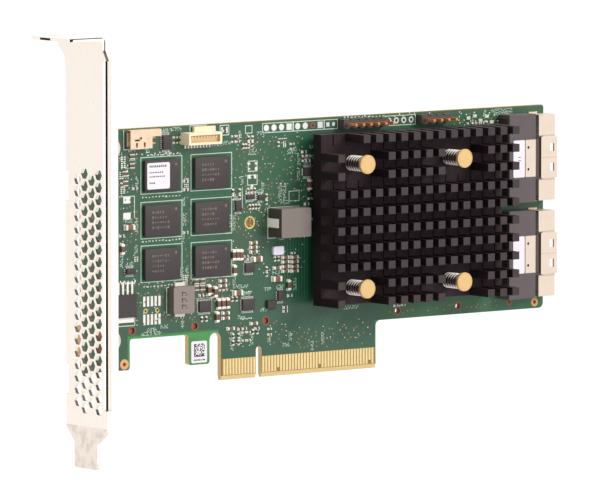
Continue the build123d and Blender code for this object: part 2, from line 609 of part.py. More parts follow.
# Cable ports: moulded housing, metal shell round the mouth, latch plate, leads and label
shell_outer = PORT_HEIGHT
shell_inner = PORT_HEIGHT - SHELL_WALL
for name, port_z in (("lower", PORT_Z[0]), ("upper", PORT_Z[1])):
    with BuildPart() as port_housing:
        housing_mid = (PORT_X[0] + PORT_X[1]) / 2
        add(boxes([(housing_mid, port_z)], (PORT_X[1] - PORT_X[0], PORT_LENGTH, PORT_HEIGHT)))
        # the nose reaches into the shell
        nose_end = SHELL_X[0] + NOSE_REACH
        nose_height = shell_inner - SHELL_BACK_WALL - 2 * SEAT
        add(boxes([((PORT_X[1] + nose_end) / 2, port_z)], (nose_end - PORT_X[1], NOSE_LENGTH, nose_height),
                  SHELL_BACK_WALL + SEAT))
        # recess of the latch plate, open towards the shell
        recess_x = (LATCH_X[0], PORT_X[1])
        with BuildSketch(over_board(PORT_HEIGHT)):
            with Locations(((recess_x[0] + recess_x[1]) / 2, port_z)):
                Rectangle(recess_x[1] - recess_x[0], LATCH_LENGTH + 2 * SEAT)
        extrude(amount=-LATCH_T, mode=Mode.SUBTRACT)
        with BuildSketch(Plane.YZ.offset(nose_end)):
            with Locations((FRONT_Y - PORT_HEIGHT / 2, port_z)):
                Rectangle(SLOT_HEIGHT, SLOT_LENGTH)
        extrude(amount=-SLOT_DEPTH, mode=Mode.SUBTRACT)
    port_housing.part.label = f"{name}_port_housing"
    export_step(port_housing.part, f"parts/{name}_port_housing.step")

    with BuildPart() as port_shell:
        with BuildSketch(Plane.YZ.offset(SHELL_X[0])):
            with Locations((FRONT_Y - shell_outer / 2, port_z)):
                Rectangle(shell_outer, SHELL_LENGTH)
        extrude(amount=SHELL_X[1] - SHELL_X[0])
        hood_height = PORT_HEIGHT + HOOD_RISE
        with BuildSketch(Plane.YZ.offset(SHELL_X[0] + HOOD_START)):
            with Locations((FRONT_Y - hood_height / 2, port_z)):
                Rectangle(hood_height, HOOD_LENGTH)
        extrude(amount=SHELL_X[1] - SHELL_X[0] + HOOD_REACH - HOOD_START)
        with BuildSketch(Plane.YZ.offset(SHELL_X[0])):
            with Locations((FRONT_Y - (SHELL_BACK_WALL + shell_inner) / 2, port_z)):
                Rectangle(shell_inner - SHELL_BACK_WALL, SHELL_LENGTH - 2 * SHELL_WALL)
        extrude(amount=SHELL_X[1] - SHELL_X[0] + 2 * HOOD_REACH, mode=Mode.SUBTRACT)
        with BuildSketch(over_board(PORT_HEIGHT + HOOD_RISE)):
            with Locations(*[(WINDOW[0], port_z + s * WINDOW_Z) for s in (-1, 1)]):
                Rectangle(WINDOW[1], WINDOW[2])
            with Locations((SHELL_X[0] + HOOD_START / 2, port_z)):
                Rectangle(HOOD_START, HOOD_LENGTH + 2 * HOOD_SLIT)
            with Locations(*[(SHELL_X[0] + HOOD_START, port_z + s * (HOOD_LENGTH + HOOD_SLIT) / 2) for s in (-1, 1)]):
                Rectangle(2 * HOOD_START, HOOD_SLIT)
        extrude(amount=-(SHELL_WALL + HOOD_RISE), mode=Mode.SUBTRACT)
        # solder feet at both ends
        foot_z = SHELL_LENGTH / 2 + FOOT_REACH / 2
        add(boxes([(SHELL_X[0] + FOOT_LENGTH / 2, port_z + s * foot_z) for s in (-1, 1)],
              (FOOT_LENGTH, FOOT_REACH, FOOT_T)))
    port_shell.part.label = f"{name}_port_shell"
    export_step(port_shell.part, f"parts/{name}_port_shell.step")

    with BuildPart() as port_latch:
        with BuildSketch(over_board(PORT_HEIGHT - LATCH_T)):
            with Locations(((LATCH_X[0] + LATCH_X[1]) / 2, port_z)):
                Rectangle(LATCH_X[1] - LATCH_X[0], LATCH_LENGTH)
            with Locations(*[(LATCH_HOLE_X, port_z + s * LATCH_HOLE_Z) for s in (-1, 1)]):
                RegularPolygon(LATCH_HOLE_R, HEADER_HOLE_SIDES, mode=Mode.SUBTRACT)
        extrude(amount=LATCH_T)
    port_latch.part.label = f"{name}_port_latch"
    export_step(port_latch.part, f"parts/{name}_port_latch.step")

    with BuildPart() as port_leads:
        lead_start = PORT_X[0]
        for i in range(LEAD_COUNT):
            z = port_z + (i - (LEAD_COUNT - 1) / 2) * LEAD_PITCH
            with BuildSketch(Plane.XY.offset(z - LEAD_WIDTH / 2)):
                with BuildLine():
                    Polyline((lead_start, FRONT_Y), (lead_start - LEAD_FOOT, FRONT_Y),
                             (lead_start - LEAD_FOOT, FRONT_Y - LEAD_T),
                             (lead_start - LEAD_T, FRONT_Y - LEAD_T),
                             (lead_start - LEAD_T, FRONT_Y - LEAD_RISE),
                             (lead_start, FRONT_Y - LEAD_RISE), close=True)
                make_face()
            extrude(amount=LEAD_WIDTH)
    port_leads.part.label = f"{name}_port_leads"
    export_step(port_leads.part, f"parts/{name}_port_leads.step")

    with BuildPart() as port_label:
        with BuildSketch(over_board(PORT_HEIGHT)) as label_shape:
            with Locations((PORT_LABEL[0], port_z)):
                Rectangle(PORT_LABEL[1], PORT_LABEL[2])
            chamfer(label_shape.vertices(), LABEL_CORNER)
        extrude(amount=LABEL_T)
    port_label.part.label = f"{name}_port_label"
    export_step(port_label.part, f"parts/{name}_port_label.step")

# Battery connector: low side-entry shroud with windows and slits over its contacts
with BuildPart() as battery_connector:
    battery_mid_z = (BATTERY_Z[0] + BATTERY_Z[1]) / 2
    battery_tall = BATTERY_Z[1] - BATTERY_Z[0]
    battery_long = BATTERY_X[1] - BATTERY_X[0]
    battery_mid_x = (BATTERY_X[0] + BATTERY_X[1]) / 2
    add(boxes([(battery_mid_x, battery_mid_z)], (battery_long, battery_tall, BATTERY_HEIGHT)))
    rear_long, rear_tall, rear_height = BATTERY_REAR
    add(boxes([(BATTERY_X[1] + rear_long / 2, BATTERY_Z[1] - rear_tall / 2)], (rear_long, rear_tall, rear_height)))
    with BuildSketch(Plane.YZ.offset(BATTERY_X[0])):
        with Locations((FRONT_Y - BATTERY_HEIGHT / 2, battery_mid_z)):
            Rectangle(BATTERY_HEIGHT - 2 * BATTERY_WALL, battery_tall - 4 * BATTERY_WALL)
    extrude(amount=battery_long - BATTERY_WALL, mode=Mode.SUBTRACT)
    with BuildSketch(over_board(BATTERY_HEIGHT)):
        for x, z, width, tall in (*BATTERY_WINDOWS, *BATTERY_SLITS):
            with Locations((battery_mid_x + x, BATTERY_Z[0] + z)):
                Rectangle(width, tall)
    extrude(amount=-BATTERY_WALL, mode=Mode.SUBTRACT)

battery_connector.part.label = "battery_connector"
export_step(battery_connector.part, "parts/battery_connector.step")

# Blades inside the shroud and the solder tails behind it
with BuildPart() as battery_contacts:
    blade = BATTERY_HEIGHT / 2 - 0.2
    contact_start = BATTERY_X[0] + 1.5
    contact_end = BATTERY_X[1] - BATTERY_WALL
    add(boxes([((contact_start + contact_end) / 2, z) for z in BATTERY_PIN_Z],
              (contact_end - contact_start, 0.5, 0.4), blade))
    add(boxes([(BATTERY_X[1] + BATTERY_TAIL[0] / 2, z) for z in BATTERY_PIN_Z], BATTERY_TAIL))

battery_contacts.part.label = "battery_contacts"
export_step(battery_contacts.part, "parts/battery_contacts.step")

# Sensor connector: upright shroud with a shallow mouth and a low rib above it
with BuildPart() as sensor_connector:
    sensor_mid = ((SENSOR_X[0] + SENSOR_X[1]) / 2, (SENSOR_Z[0] + SENSOR_Z[1]) / 2)
    sensor_size = (SENSOR_X[1] - SENSOR_X[0], SENSOR_Z[1] - SENSOR_Z[0])
    add(boxes([sensor_mid], (*sensor_size, SENSOR_HEIGHT)))
    rib_long, rib_height = SENSOR_RIB
    add(boxes([(SENSOR_X[1] - rib_long / 2, (SENSOR_Z[1] + SENSOR_RIB_Z) / 2)],
              (rib_long, SENSOR_RIB_Z - SENSOR_Z[1], rib_height)))
    with BuildSketch(over_board(SENSOR_HEIGHT)):
        with Locations(sensor_mid):
            Rectangle(sensor_size[0] - 2 * SENSOR_WALL, sensor_size[1] - 2 * SENSOR_WALL)
    extrude(amount=-SENSOR_DEPTH, mode=Mode.SUBTRACT)

sensor_connector.part.label = "sensor_connector"
export_step(sensor_connector.part, "parts/sensor_connector.step")

# Pins in the shroud's mouth and the solder feet below it
with BuildPart() as sensor_contacts:
    pin_first = sensor_mid[0] - (SENSOR_PINS - 1) / 2 * SENSOR_PITCH
    post_places = row(pin_first, SENSOR_PINS, SENSOR_PITCH, sensor_mid[1] + SENSOR_PIN_RISE)
    add(boxes(post_places, (0.3, 0.3, SENSOR_DEPTH / 2), SENSOR_HEIGHT - SENSOR_DEPTH))
    foot_places = row(pin_first, SENSOR_PINS, SENSOR_PITCH, SENSOR_Z[0] - SENSOR_FOOT / 2)
    add(boxes(foot_places, (0.45, SENSOR_FOOT, 0.25)))

sensor_contacts.part.label = "sensor_contacts"
export_step(sensor_contacts.part, "parts/sensor_contacts.step")

# Pin headers: insulator strips with square pins through them and the board
for name, (first, count) in (("long", LONG_HEADER), ("short", SHORT_HEADER)):
    pin_row = row(first, count)
    with BuildPart() as header_body:
        add(boxes([(first + (count - 1) * HEADER_PITCH / 2, HEADER_Z)],
              (count * HEADER_PITCH, HEADER_DEPTH, HEADER_BODY)))
        notch_row = row(first + HEADER_PITCH / 2, count - 1)
        with BuildSketch(over_board()):
            with Locations(*pin_row):
                Rectangle(PIN_SQUARE, PIN_SQUARE)
            for x, z in notch_row:
                with Locations((x, z - HEADER_DEPTH / 2), (x, z + HEADER_DEPTH / 2)):
                    Rectangle(0.8, 0.6)
        extrude(amount=HEADER_BODY, mode=Mode.SUBTRACT)
    header_body.part.label = f"{name}_header_body"
    export_step(header_body.part, f"parts/{name}_header_body.step")

    with BuildPart() as header_pins:
        with BuildSketch(over_board(PIN_TIP)):
            with Locations(*pin_row):
                Rectangle(PIN_SQUARE, PIN_SQUARE)
        extrude(amount=-(PIN_TIP + BOARD_T + PIN_TAIL))
    header_pins.part.label = f"{name}_header_pins"
    export_step(header_pins.part, f"parts/{name}_header_pins.step")

# Small inductor: moulded block with a terminal at each end
with BuildPart() as small_inductor:
    x, z, width, tall, thick = SMALL_COIL
    add(boxes([(x, z)], (width, tall, thick)))
    chamfer(small_inductor.edges().filter_by(Axis.Y), CORNER_R / 2)

small_inductor.part.label = "small_inductor"
export_step(small_inductor.part, "parts/small_inductor.step")

with BuildPart() as small_inductor_terminals:
    terminal_w, terminal_l, terminal_t = SMALL_COIL_TERMINAL
    add(boxes([(x, z + s * (tall + terminal_l) / 2) for s in (-1, 1)], (terminal_w, terminal_l, terminal_t)))

small_inductor_terminals.part.label = "small_inductor_terminals"
export_step(small_inductor_terminals.part, "parts/small_inductor_terminals.step")

# Large inductor: pressed block with a clip up each side
with BuildPart() as large_inductor:
    x, z, width, tall, thick = LARGE_COIL
    add(boxes([(x, z)], (width, tall, thick)))
    chamfer(large_inductor.edges().filter_by(Axis.Y), 0.3)

large_inductor.part.label = "large_inductor"
export_step(large_inductor.part, "parts/large_inductor.step")

with BuildPart() as large_inductor_clips:
    clip_w, clip_h, clip_t = LARGE_COIL_CLIP
    add(boxes([(x + s * (width + clip_t) / 2, z) for s in (-1, 1)], (clip_t, clip_w, clip_h)))

large_inductor_clips.part.label = "large_inductor_clips"
export_step(large_inductor_clips.part, "parts/large_inductor_clips.step")

# Power transistor
with BuildPart() as power_transistor:
    x, z, width, tall, thick = POWER_BODY
    add(boxes([(x, z)], (width, tall, thick)))
    chamfer(power_transistor.faces().sort_by(Axis.Y)[0].edges(), 0.2)

power_transistor.part.label = "power_transistor"
export_step(power_transistor.part, "parts/power_transistor.step")

with BuildPart() as power_transistor_leads:
    lead_w, lead_l, lead_t = POWER_LEAD
    lead_first = x - (POWER_LEADS - 1) / 2 * POWER_LEAD_PITCH
    add(boxes(row(lead_first, POWER_LEADS, POWER_LEAD_PITCH, z + (tall + lead_l) / 2), (lead_w, lead_l, lead_t)))
    pad_w, pad_l, pad_t = POWER_PAD
    add(boxes([(x, z - (tall + pad_l) / 2)], (pad_w, pad_l, pad_t)))

power_transistor_leads.part.label = "power_transistor_leads"
export_step(power_transistor_leads.part, "parts/power_transistor_leads.step")

# Small chips, diode and crystal
with BuildPart() as small_chips:
    for x, z, width, tall, thick in SMALL_CHIPS:
        add(boxes([(x, z)], (width, tall, thick)))

small_chips.part.label = "small_chips"
export_step(small_chips.part, "parts/small_chips.step")

with BuildPart() as diode:
    x, z, width, tall, thick = DIODE
    add(boxes([(x, z)], (width, tall, thick)))
    chamfer(diode.faces().sort_by(Axis.Y)[0].edges(), 0.2)

diode.part.label = "diode"
export_step(diode.part, "parts/diode.step")

with BuildPart() as crystal:
    x, z, width, tall, thick = CRYSTAL
    add(boxes([(x, z)], (width, tall, thick)))
    chamfer(crystal.edges().filter_by(Axis.Y), 0.3)

crystal.part.label = "crystal"
export_step(crystal.part, "parts/crystal.step")

# Ceramic capacitors, resistors and indicator lights
for node, places, size in (
        ("lying_capacitors", LYING_CAPS, LYING_CAP_SIZE),
        ("standing_capacitors", STANDING_CAPS, STANDING_CAP_SIZE),
        ("large_capacitors", LARGE_CAPS, LARGE_CAP_SIZE),
        ("small_resistors", TINY_PARTS, TINY_SIZE),
        ("resistor_arrays", RESISTOR_ARRAYS, ARRAY_SIZE),
        ("indicator_lights", [(BOARD_RIGHT + x, BOARD_TOP + z) for x, z in INDICATORS], INDICATOR_SIZE)):
    with BuildPart() as small_parts:
        add(boxes(places, size))
    small_parts.part.label = node
    export_step(small_parts.part, f"parts/{node}.step")

# Decoupling capacitors behind the controller
with BuildPart() as back_capacitors:
    width, tall, thick = BACK_CAP_SIZE
    with BuildSketch(behind_board()):
        with Locations((SINK_MID_X, SINK_MID_Z)):
            with GridLocations(BACK_GRID_PITCH, BACK_GRID_PITCH, *BACK_GRID):
                Rectangle(width, tall)
    extrude(amount=-thick)

back_capacitors.part.label = "back_capacitors"
export_step(back_capacitors.part, "parts/back_capacitors.step")
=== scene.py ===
import json
import math
import random

import bmesh
import bpy
from bpy.props import FloatProperty, FloatVectorProperty, IntProperty, PointerProperty
from mathutils import Matrix, Vector

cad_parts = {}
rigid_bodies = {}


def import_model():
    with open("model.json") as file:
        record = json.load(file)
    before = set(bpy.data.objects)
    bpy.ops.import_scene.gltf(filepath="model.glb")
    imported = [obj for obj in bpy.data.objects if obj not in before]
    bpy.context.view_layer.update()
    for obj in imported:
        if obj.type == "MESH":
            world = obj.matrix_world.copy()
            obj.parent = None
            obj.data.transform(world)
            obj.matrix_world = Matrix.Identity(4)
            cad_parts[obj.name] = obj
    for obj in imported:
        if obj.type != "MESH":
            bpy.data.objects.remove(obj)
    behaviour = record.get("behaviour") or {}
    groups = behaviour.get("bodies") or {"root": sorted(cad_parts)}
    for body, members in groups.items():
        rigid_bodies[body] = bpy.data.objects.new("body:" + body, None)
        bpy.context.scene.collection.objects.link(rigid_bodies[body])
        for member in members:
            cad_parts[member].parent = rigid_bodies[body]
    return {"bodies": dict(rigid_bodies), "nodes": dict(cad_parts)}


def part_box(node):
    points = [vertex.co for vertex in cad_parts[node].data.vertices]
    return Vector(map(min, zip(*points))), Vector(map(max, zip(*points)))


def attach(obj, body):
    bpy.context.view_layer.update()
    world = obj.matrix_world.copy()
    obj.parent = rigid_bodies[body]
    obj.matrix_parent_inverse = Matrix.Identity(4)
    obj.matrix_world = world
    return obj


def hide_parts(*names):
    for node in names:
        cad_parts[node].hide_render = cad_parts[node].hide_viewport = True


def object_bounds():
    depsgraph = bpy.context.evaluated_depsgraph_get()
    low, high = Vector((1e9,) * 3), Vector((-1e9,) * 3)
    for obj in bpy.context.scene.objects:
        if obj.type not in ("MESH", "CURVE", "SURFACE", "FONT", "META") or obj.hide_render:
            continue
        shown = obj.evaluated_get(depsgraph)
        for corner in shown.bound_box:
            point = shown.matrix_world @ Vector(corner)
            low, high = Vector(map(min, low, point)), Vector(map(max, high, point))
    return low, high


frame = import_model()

bl_info = {
    "name": "Raid Controller Card",
    "version": (1, 0, 0),
    "blender": (4, 5, 0),
    "location": "View3D > Sidebar > Card",
    "description": "Finishes and fine pieces of a storage controller card, built on its packed model",
    "category": "Object",
}

MM = 0.001
BODY = next(iter(frame["bodies"]))
CAD_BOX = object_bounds()


def node_box(name):
    """Lowest and highest corners of a node, in millimetres."""
    low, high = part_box(name)
    return [v / MM for v in low], [v / MM for v in high]


# Sizes read from the frame, in millimetres
BOARD_LOW, BOARD_HIGH = node_box("circuit_board")
FRONT = BOARD_LOW[1]
BACK = BOARD_HIGH[1]
FLOOR_Z = CAD_BOX[0][2]
INK_T = 0.02
COPPER_T = 0.03
PAD_T = 0.05
MARK_T = 0.01

# Holes of the board, as (x, z) in millimetres
SLOT_HOLES = tuple((x, 15.1) for x in (-42.0, -21.3, 2.35, 47.1, 68.0))
SLOT_HOLE_R = 0.84
FILLED_SLOT_HOLES = SLOT_HOLES[:3]
EYELET = (-3.0, 41.8)
LEG_HOLE = (-44.5, 6.3)
CORNER_HOLE = (94.8, 14.6)
NEAR_CORNER_HOLE = (86.0, 15.1)
FOOTPRINT_HOLES = ((-37.55, 20.1), (-33.7, 20.1))
TOP_ROW_Z = 66.9
LONE_HOLE = (18.18, TOP_ROW_Z)
SMALL_PAD = (25.25, TOP_ROW_Z)
HEADER_PITCH = 2.54
HEADER_HOLES = tuple((first + HEADER_PITCH * i, TOP_ROW_Z) for first, count in ((28.1, 6), (54.8, 4))
                     for i in range(count))
EMPTY_ROW = tuple((44.1 + HEADER_PITCH * i, TOP_ROW_Z) for i in range(4))
ROUND_PADS = tuple((x, TOP_ROW_Z) for x in (2.6, 5.14, 7.68, 13.1, 15.64))

# Areas strewn with vias and small pads: x low, z low, x high and z high in millimetres
SMALL_VIA_AREAS = (
    (-41, 16.5, -9, 28), (-9, 38, 17, 65), (-46, 37, -40, 62), (-25, 28, -22.5, 62), (-11, 8.6, -1.2, 15),
    (2.4, 8.6, 10, 15), (10, 6.8, 38, 12), (42, 14.2, 92, 15.8), (-56, 20, -48, 60), (62, 64.5, 81, 68))
BACK_VIA_AREAS = (
    (-46, 16.5, -5, 66), (4, 40, 17, 65), (2.4, 8.6, 38, 14), (20, 56, 78, 64), (30, 26, 68, 50))
BRIGHT_VIA_AREAS = (
    (-9, 27, 16, 40), (-46, 24, -40, 60), (-8, 40, 20, 66), (-11, 8.6, -1.2, 15), (2.4, 8.6, 38, 14),
    (-41, 16.5, -9, 28))
LAMP_DOT_AREAS = ((68.2, 62.2, 80.6, 68.2), (28, 68.0, 60, 68.7), (-40.6, 61.2, -24, 62.4))

# Bare footprints and legend on the component side: x, z, width and height in millimetres
BARE_PADS = (
    (10.2, 66.9, 1.75, 1.75), (20.7, 66.9, 1.7, 1.75), (23.3, 66.9, 1.05, 1.15),
    *((-37.95 + 1.25 * i, z, 0.75, tall) for i in range(5) for z, tall in ((22.6, 2.7), (17.75, 2.8))),
    (-43.6, 49.9, 2.3, 1.7), (-43.6, 45.7, 2.4, 1.8), (4.6, 41.1, 3.1, 2.1),
    (-3.2, 57.6, 0.7, 0.6), (-0.9, 57.6, 0.7, 0.6), (-3.2, 56.2, 0.7, 0.5), (-0.9, 56.2, 0.7, 0.9),
    (-3.1, 54.1, 0.8, 1.1), (-1.2, 54.1, 0.8, 1.1), (-2.2, 51.6, 0.7, 0.8),
    (-12.2, 67.0, 0.5, 1.6), (-10.6, 67.0, 0.5, 1.6), (8.4, 62.3, 0.3, 1.7), (9.0, 62.3, 0.3, 1.7))
LEGEND_LINE = 0.2
LEGEND_BOXES = (
    (6.4, 66.9, 10.2, 2.5), (16.85, 66.9, 10.3, 2.5), (24.35, 66.9, 4.4, 2.5), (47.9, 66.9, 10.5, 2.6),
    (-11.4, 67.0, 2.9, 2.6), (-3.3, 66.8, 2.2, 2.0), (-2.0, 56.9, 3.0, 2.7), (-2.1, 53.2, 3.2, 2.6),
    (11.9, 48.2, 3.4, 2.6), (-2.7, 49.0, 3.2, 2.4), (-18.1, 20.5, 4.8, 3.6))
LEGEND_LINES = (
    (-41.1, 48.0, 0.2, 5.8), (-43.6, 50.9, 5.0, 0.2), (-41.1, 19.0, 0.2, 5.0), (-44.0, 16.5, 6.0, 0.2),
    (3.05, 41.2, 0.2, 8.2), (8.3, 45.4, 10.4, 0.2), (4.4, 37.2, 2.8, 0.2), (-44.6, 66.0, 0.2, 5.2),
    (-40.8, 63.3, 7.6, 0.2), (-22.8, 68.2, 0.2, 2.0), (-20.0, 68.65, 5.6, 0.2), (-5.5, 48.6, 0.2, 5.6),
    (-30.0, 26.0, 1.2, 0.2), (-30.6, 22.5, 0.2, 7.0), (-30.0, 18.6, 1.2, 0.2))
# Words of the legend, which spell nothing: x, z, number of letters, and True if they run upwards
LEGEND_WORDS = (
    (-36.9, 62.6, 2, False), (-45.6, 61.4, 3, True), (-40.3, 54.0, 4, True), (-40.4, 43.0, 5, True),
    (-25.0, 48.6, 3, True), (-24.6, 43.8, 4, True), (-25.2, 38.6, 3, True), (-14.0, 63.4, 4, False),
    (-10.6, 63.6, 3, False), (-30.5, 67.9, 4, False), (-27.3, 68.1, 4, False), (-6.2, 65.0, 4, True),
    (-2.2, 63.2, 5, True), (0.6, 65.6, 3, False), (-2.0, 60.4, 3, False), (-5.6, 53.2, 3, True),
    (1.4, 51.0, 4, True), (7.2, 49.4, 6, True), (8.7, 49.4, 6, True), (11.2, 60.0, 4, False),
    (13.5, 58.0, 4, True), (13.4, 54.0, 4, True), (9.0, 46.7, 4, False), (17.6, 58.4, 5, False),
    (17.8, 61.0, 2, False), (-9.6, 42.6, 4, True), (-8.2, 42.0, 5, True), (7.8, 37.0, 3, False),
    (-25.5, 29.4, 4, True), (-23.9, 29.4, 4, True), (-8.2, 27.0, 4, True), (-5.2, 24.8, 4, False),
    (-35.5, 15.0, 4, False), (-31.4, 15.6, 3, False), (-37.2, 14.0, 4, False), (-33.6, 14.0, 3, False),
    (-25.4, 16.4, 4, True), (-5.8, 16.6, 3, False), (1.8, 18.1, 3, False), (2.9, 23.6, 3, False),
    (-9.0, 10.2, 6, True), (-6.2, 11.4, 5, True), (-2.4, 10.6, 4, True), (3.4, 10.4, 3, True),
    (9.2, 8.2, 3, False), (10.6, 10.4, 3, True), (18.0, 7.4, 3, True), (21.6, 9.2, 4, True),
    (31.2, 17.0, 6, False), (83.0, 68.0, 9, False), (83.6, 67.0, 8, False), (77.2, 67.6, 2, True),
    (12.2, 24.4, 4, True), (-43.2, 67.9, 2, False), (-45.4, 33.6, 4, True), (-40.6, 36.6, 3, True))
# Rows of dashes: x, z, number of dashes and pitch
DASH_ROWS = (
    (-38.4, 50.35, 12, 1.1), (-38.4, 38.6, 12, 1.1), (-36.6, 61.5, 11, 1.05), (-38.0, 26.6, 9, 1.15),
    (12.0, 49.6, 4, 0.8), (10.4, 46.8, 4, 1.0), (-5.4, 23.2, 5, 0.7), (29.0, 68.4, 12, 1.2),
    (-6.0, 16.0, 6, 0.7), (46.0, 16.4, 5, 0.9))
# Fields of very small resistors and capacitors: x, z, columns, rows, both pitches, and 1 if they are upright
FINE_FIELDS = (
    (-8.5, 65.2, 2, 2, 1.5, 1.5, 0), (-3.4, 64.4, 2, 2, 1.3, 1.5, 1), (-5.2, 62.4, 3, 1, 0.9, 1.0, 1),
    (-3.6, 50.4, 3, 1, 1.1, 1.0, 1), (-3.0, 46.0, 4, 1, 1.0, 1.0, 1), (2.6, 48.6, 1, 2, 1.0, 1.6, 1),
    (6.6, 62.4, 1, 1, 1.0, 1.0, 1), (11.2, 62.2, 1, 2, 1.0, 1.3, 0), (15.2, 58.8, 2, 2, 1.4, 1.3, 0),
    (17.2, 47.2, 1, 1, 1.0, 1.0, 0), (-8.6, 50.4, 2, 2, 2.2, 1.6, 1), (-27.8, 65.8, 2, 2, 1.0, 1.4, 0),
    (-30.4, 61.9, 1, 1, 1.0, 1.0, 0), (-3.2, 31.9, 2, 1, 1.5, 1.0, 0), (2.6, 29.0, 1, 2, 1.0, 1.4, 1),
    (11.5, 32.8, 1, 1, 1.0, 1.0, 0), (-8.9, 21.6, 2, 1, 1.4, 1.0, 1), (-19.0, 16.8, 2, 1, 1.5, 1.0, 1),
    (-8.6, 11.6, 2, 2, 1.8, 1.8, 1), (-5.0, 12.4, 2, 2, 1.5, 2.2, 0), (-2.0, 12.4, 2, 1, 1.5, 1.8, 1),
    (3.6, 12.8, 1, 2, 1.5, 1.5, 0), (46.4, 16.6, 2, 1, 2.6, 1.0, 0), (71.2, 64.4, 2, 2, 1.7, 1.9, 1),
    (74.6, 64.8, 2, 2, 1.6, 1.8, 0), (77.8, 64.6, 1, 2, 1.6, 1.8, 1), (-45.4, 54.0, 1, 1, 1.0, 1.0, 1),
    (-15.4, 23.0, 2, 1, 1.3, 1.0, 1), (-12.6, 24.2, 2, 1, 1.3, 1.0, 0), (5.4, 31.6, 2, 1, 1.2, 1.0, 1))


# Mesh helpers
def add_box(bm, low, high):
    """Add a box between two corners given in millimetres."""
    corners = [bm.verts.new((x, y, z)) for x in (low[0], high[0]) for y in (low[1], high[1])
               for z in (low[2], high[2])]
    for face in ((0, 1, 3, 2), (4, 6, 7, 5), (0, 4, 5, 1), (2, 3, 7, 6), (0, 2, 6, 4), (1, 5, 7, 3)):
        bm.faces.new([corners[i] for i in face])


def middle_of(low, high):
    """Middle of a box."""
    return [(a + b) / 2 for a, b in zip(low, high)]


def size_of(low, high):
    """Size of a box along X, Y and Z."""
    return [b - a for a, b in zip(low, high)]


def add_plate(bm, x, z, width, tall, thick, base=0.0):
    """Add a block that stands on the component side."""
    add_box(bm, (x - width / 2, FRONT - base - thick, z - tall / 2),
            (x + width / 2, FRONT - base, z + tall / 2))


def add_frame(bm, x, z, width, tall, line, thick=INK_T, base=0.0):
    """Add a rectangular outline on the component side."""
    add_plate(bm, x, z + tall / 2, width + line, line, thick, base)
    add_plate(bm, x, z - tall / 2, width + line, line, thick, base)
    add_plate(bm, x - width / 2, z, line, tall - line, thick, base)
    add_plate(bm, x + width / 2, z, line, tall - line, thick, base)


def add_lathe(bm, centre, profile, steps=40):
    """Turn a profile of (radius, y) about an axis along Y through the centre (x, z)."""
    rings = []
    for radius, y in profile:
        if radius == 0:
            rings.append([bm.verts.new((centre[0], y, centre[1]))])
            continue
        turns = [2 * math.pi * i / steps for i in range(steps)]
        rings.append([bm.verts.new((centre[0] + radius * math.cos(a), y, centre[1] + radius * math.sin(a)))
                      for a in turns])
    for one, two in zip(rings, rings[1:]):
        for i in range(steps):
            j = (i + 1) % steps
            corners = [one[i % len(one)], one[j % len(one)], two[j % len(two)], two[i % len(two)]]
            bm.faces.new(list(dict.fromkeys(corners)))


def add_ring(bm, centre, inner, outer, base=0.0, thick=COPPER_T, steps=28, side=-1):
    """Add a flat ring on the board: side -1 is the component side, 1 is the back."""
    level = (FRONT if side < 0 else BACK) + side * base
    top = level + side * thick
    profile = [(inner, top), (outer, top), (outer, level)]
    add_lathe(bm, centre, [(inner, level), *profile] if inner else profile, steps)


def add_mark(marks, level, x, z, width, tall, thick=MARK_T):
    """Add a printed mark, as a block that stands on a face at that level of Y."""
    marks.append(((x, level - thick / 2, z), (width, thick, tall), 0.0))


def new_object(name, mesh):
    """Link a new object that sits at the origin."""
    piece = bpy.data.objects.new(name, mesh)
    bpy.context.scene.collection.objects.link(piece)
    return piece


def apply_modifiers(piece):
    """Turn what the modifiers make into the object's own mesh, and remove them."""
    graph = bpy.context.evaluated_depsgraph_get()
    made = bpy.data.meshes.new_from_object(piece.evaluated_get(graph), preserve_all_data_layers=True,
                                           depsgraph=graph)
    piece.modifiers.clear()
    piece.data = made


def finish_piece(piece, replaces=()):
    """Hand a finished piece to the frame."""
    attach(piece, BODY)
    if replaces:
        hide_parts(*replaces)


def make_piece(name, bm, material, replaces=(), bevel=0.0, segments=2, smooth=35):
    """Turn a mesh drawn in millimetres into a finished piece with rounded edges."""
    bmesh.ops.recalc_face_normals(bm, faces=bm.faces)
    bmesh.ops.scale(bm, vec=(MM, MM, MM), verts=bm.verts)
    mesh = bpy.data.meshes.new(name)
    bm.to_mesh(mesh)
    bm.free()
    piece = new_object(name, mesh)
    if bevel:
        rounding = piece.modifiers.new("Rounding", "BEVEL")
        rounding.width = bevel * MM
        rounding.segments = segments
        rounding.limit_method = "ANGLE"
        rounding.angle_limit = math.radians(smooth)
        apply_modifiers(piece)
    piece.data.shade_smooth()
    piece.data.set_sharp_from_angle(angle=math.radians(smooth))
    piece.data.materials.clear()
    piece.data.materials.append(material)
    finish_piece(piece, replaces)
    return piece


def solids_of(name):
    """Boxes of the separate solids in a node, in millimetres, read from its mesh."""
    bm = bmesh.new()
    bm.from_mesh(frame["nodes"][name].data)
    bmesh.ops.remove_doubles(bm, verts=bm.verts, dist=1e-6)
    left = set(bm.verts)
    boxes = []
    while left:
        group = [left.pop()]
        for vert in group:
            for edge in vert.link_edges:
                other = edge.other_vert(vert)
                if other in left:
                    left.remove(other)
                    group.append(other)
        low = [min(v.co[i] for v in group) / MM for i in range(3)]
        high = [max(v.co[i] for v in group) / MM for i in range(3)]
        boxes.append((low, high))
    bm.free()
    return sorted(boxes)


# Node helpers
def put(tree, kind, inputs=None, **settings):
    """Add a node. Inputs are named sockets: a socket is linked, anything else is its value."""
    made = tree.nodes.new(kind)
    for key, value in settings.items():
        setattr(made, key, value)
    for key, value in (inputs or {}).items():
        if isinstance(value, bpy.types.NodeSocket):
            tree.links.new(value, made.inputs[key])
        else:
            made.inputs[key].default_value = value
    return made


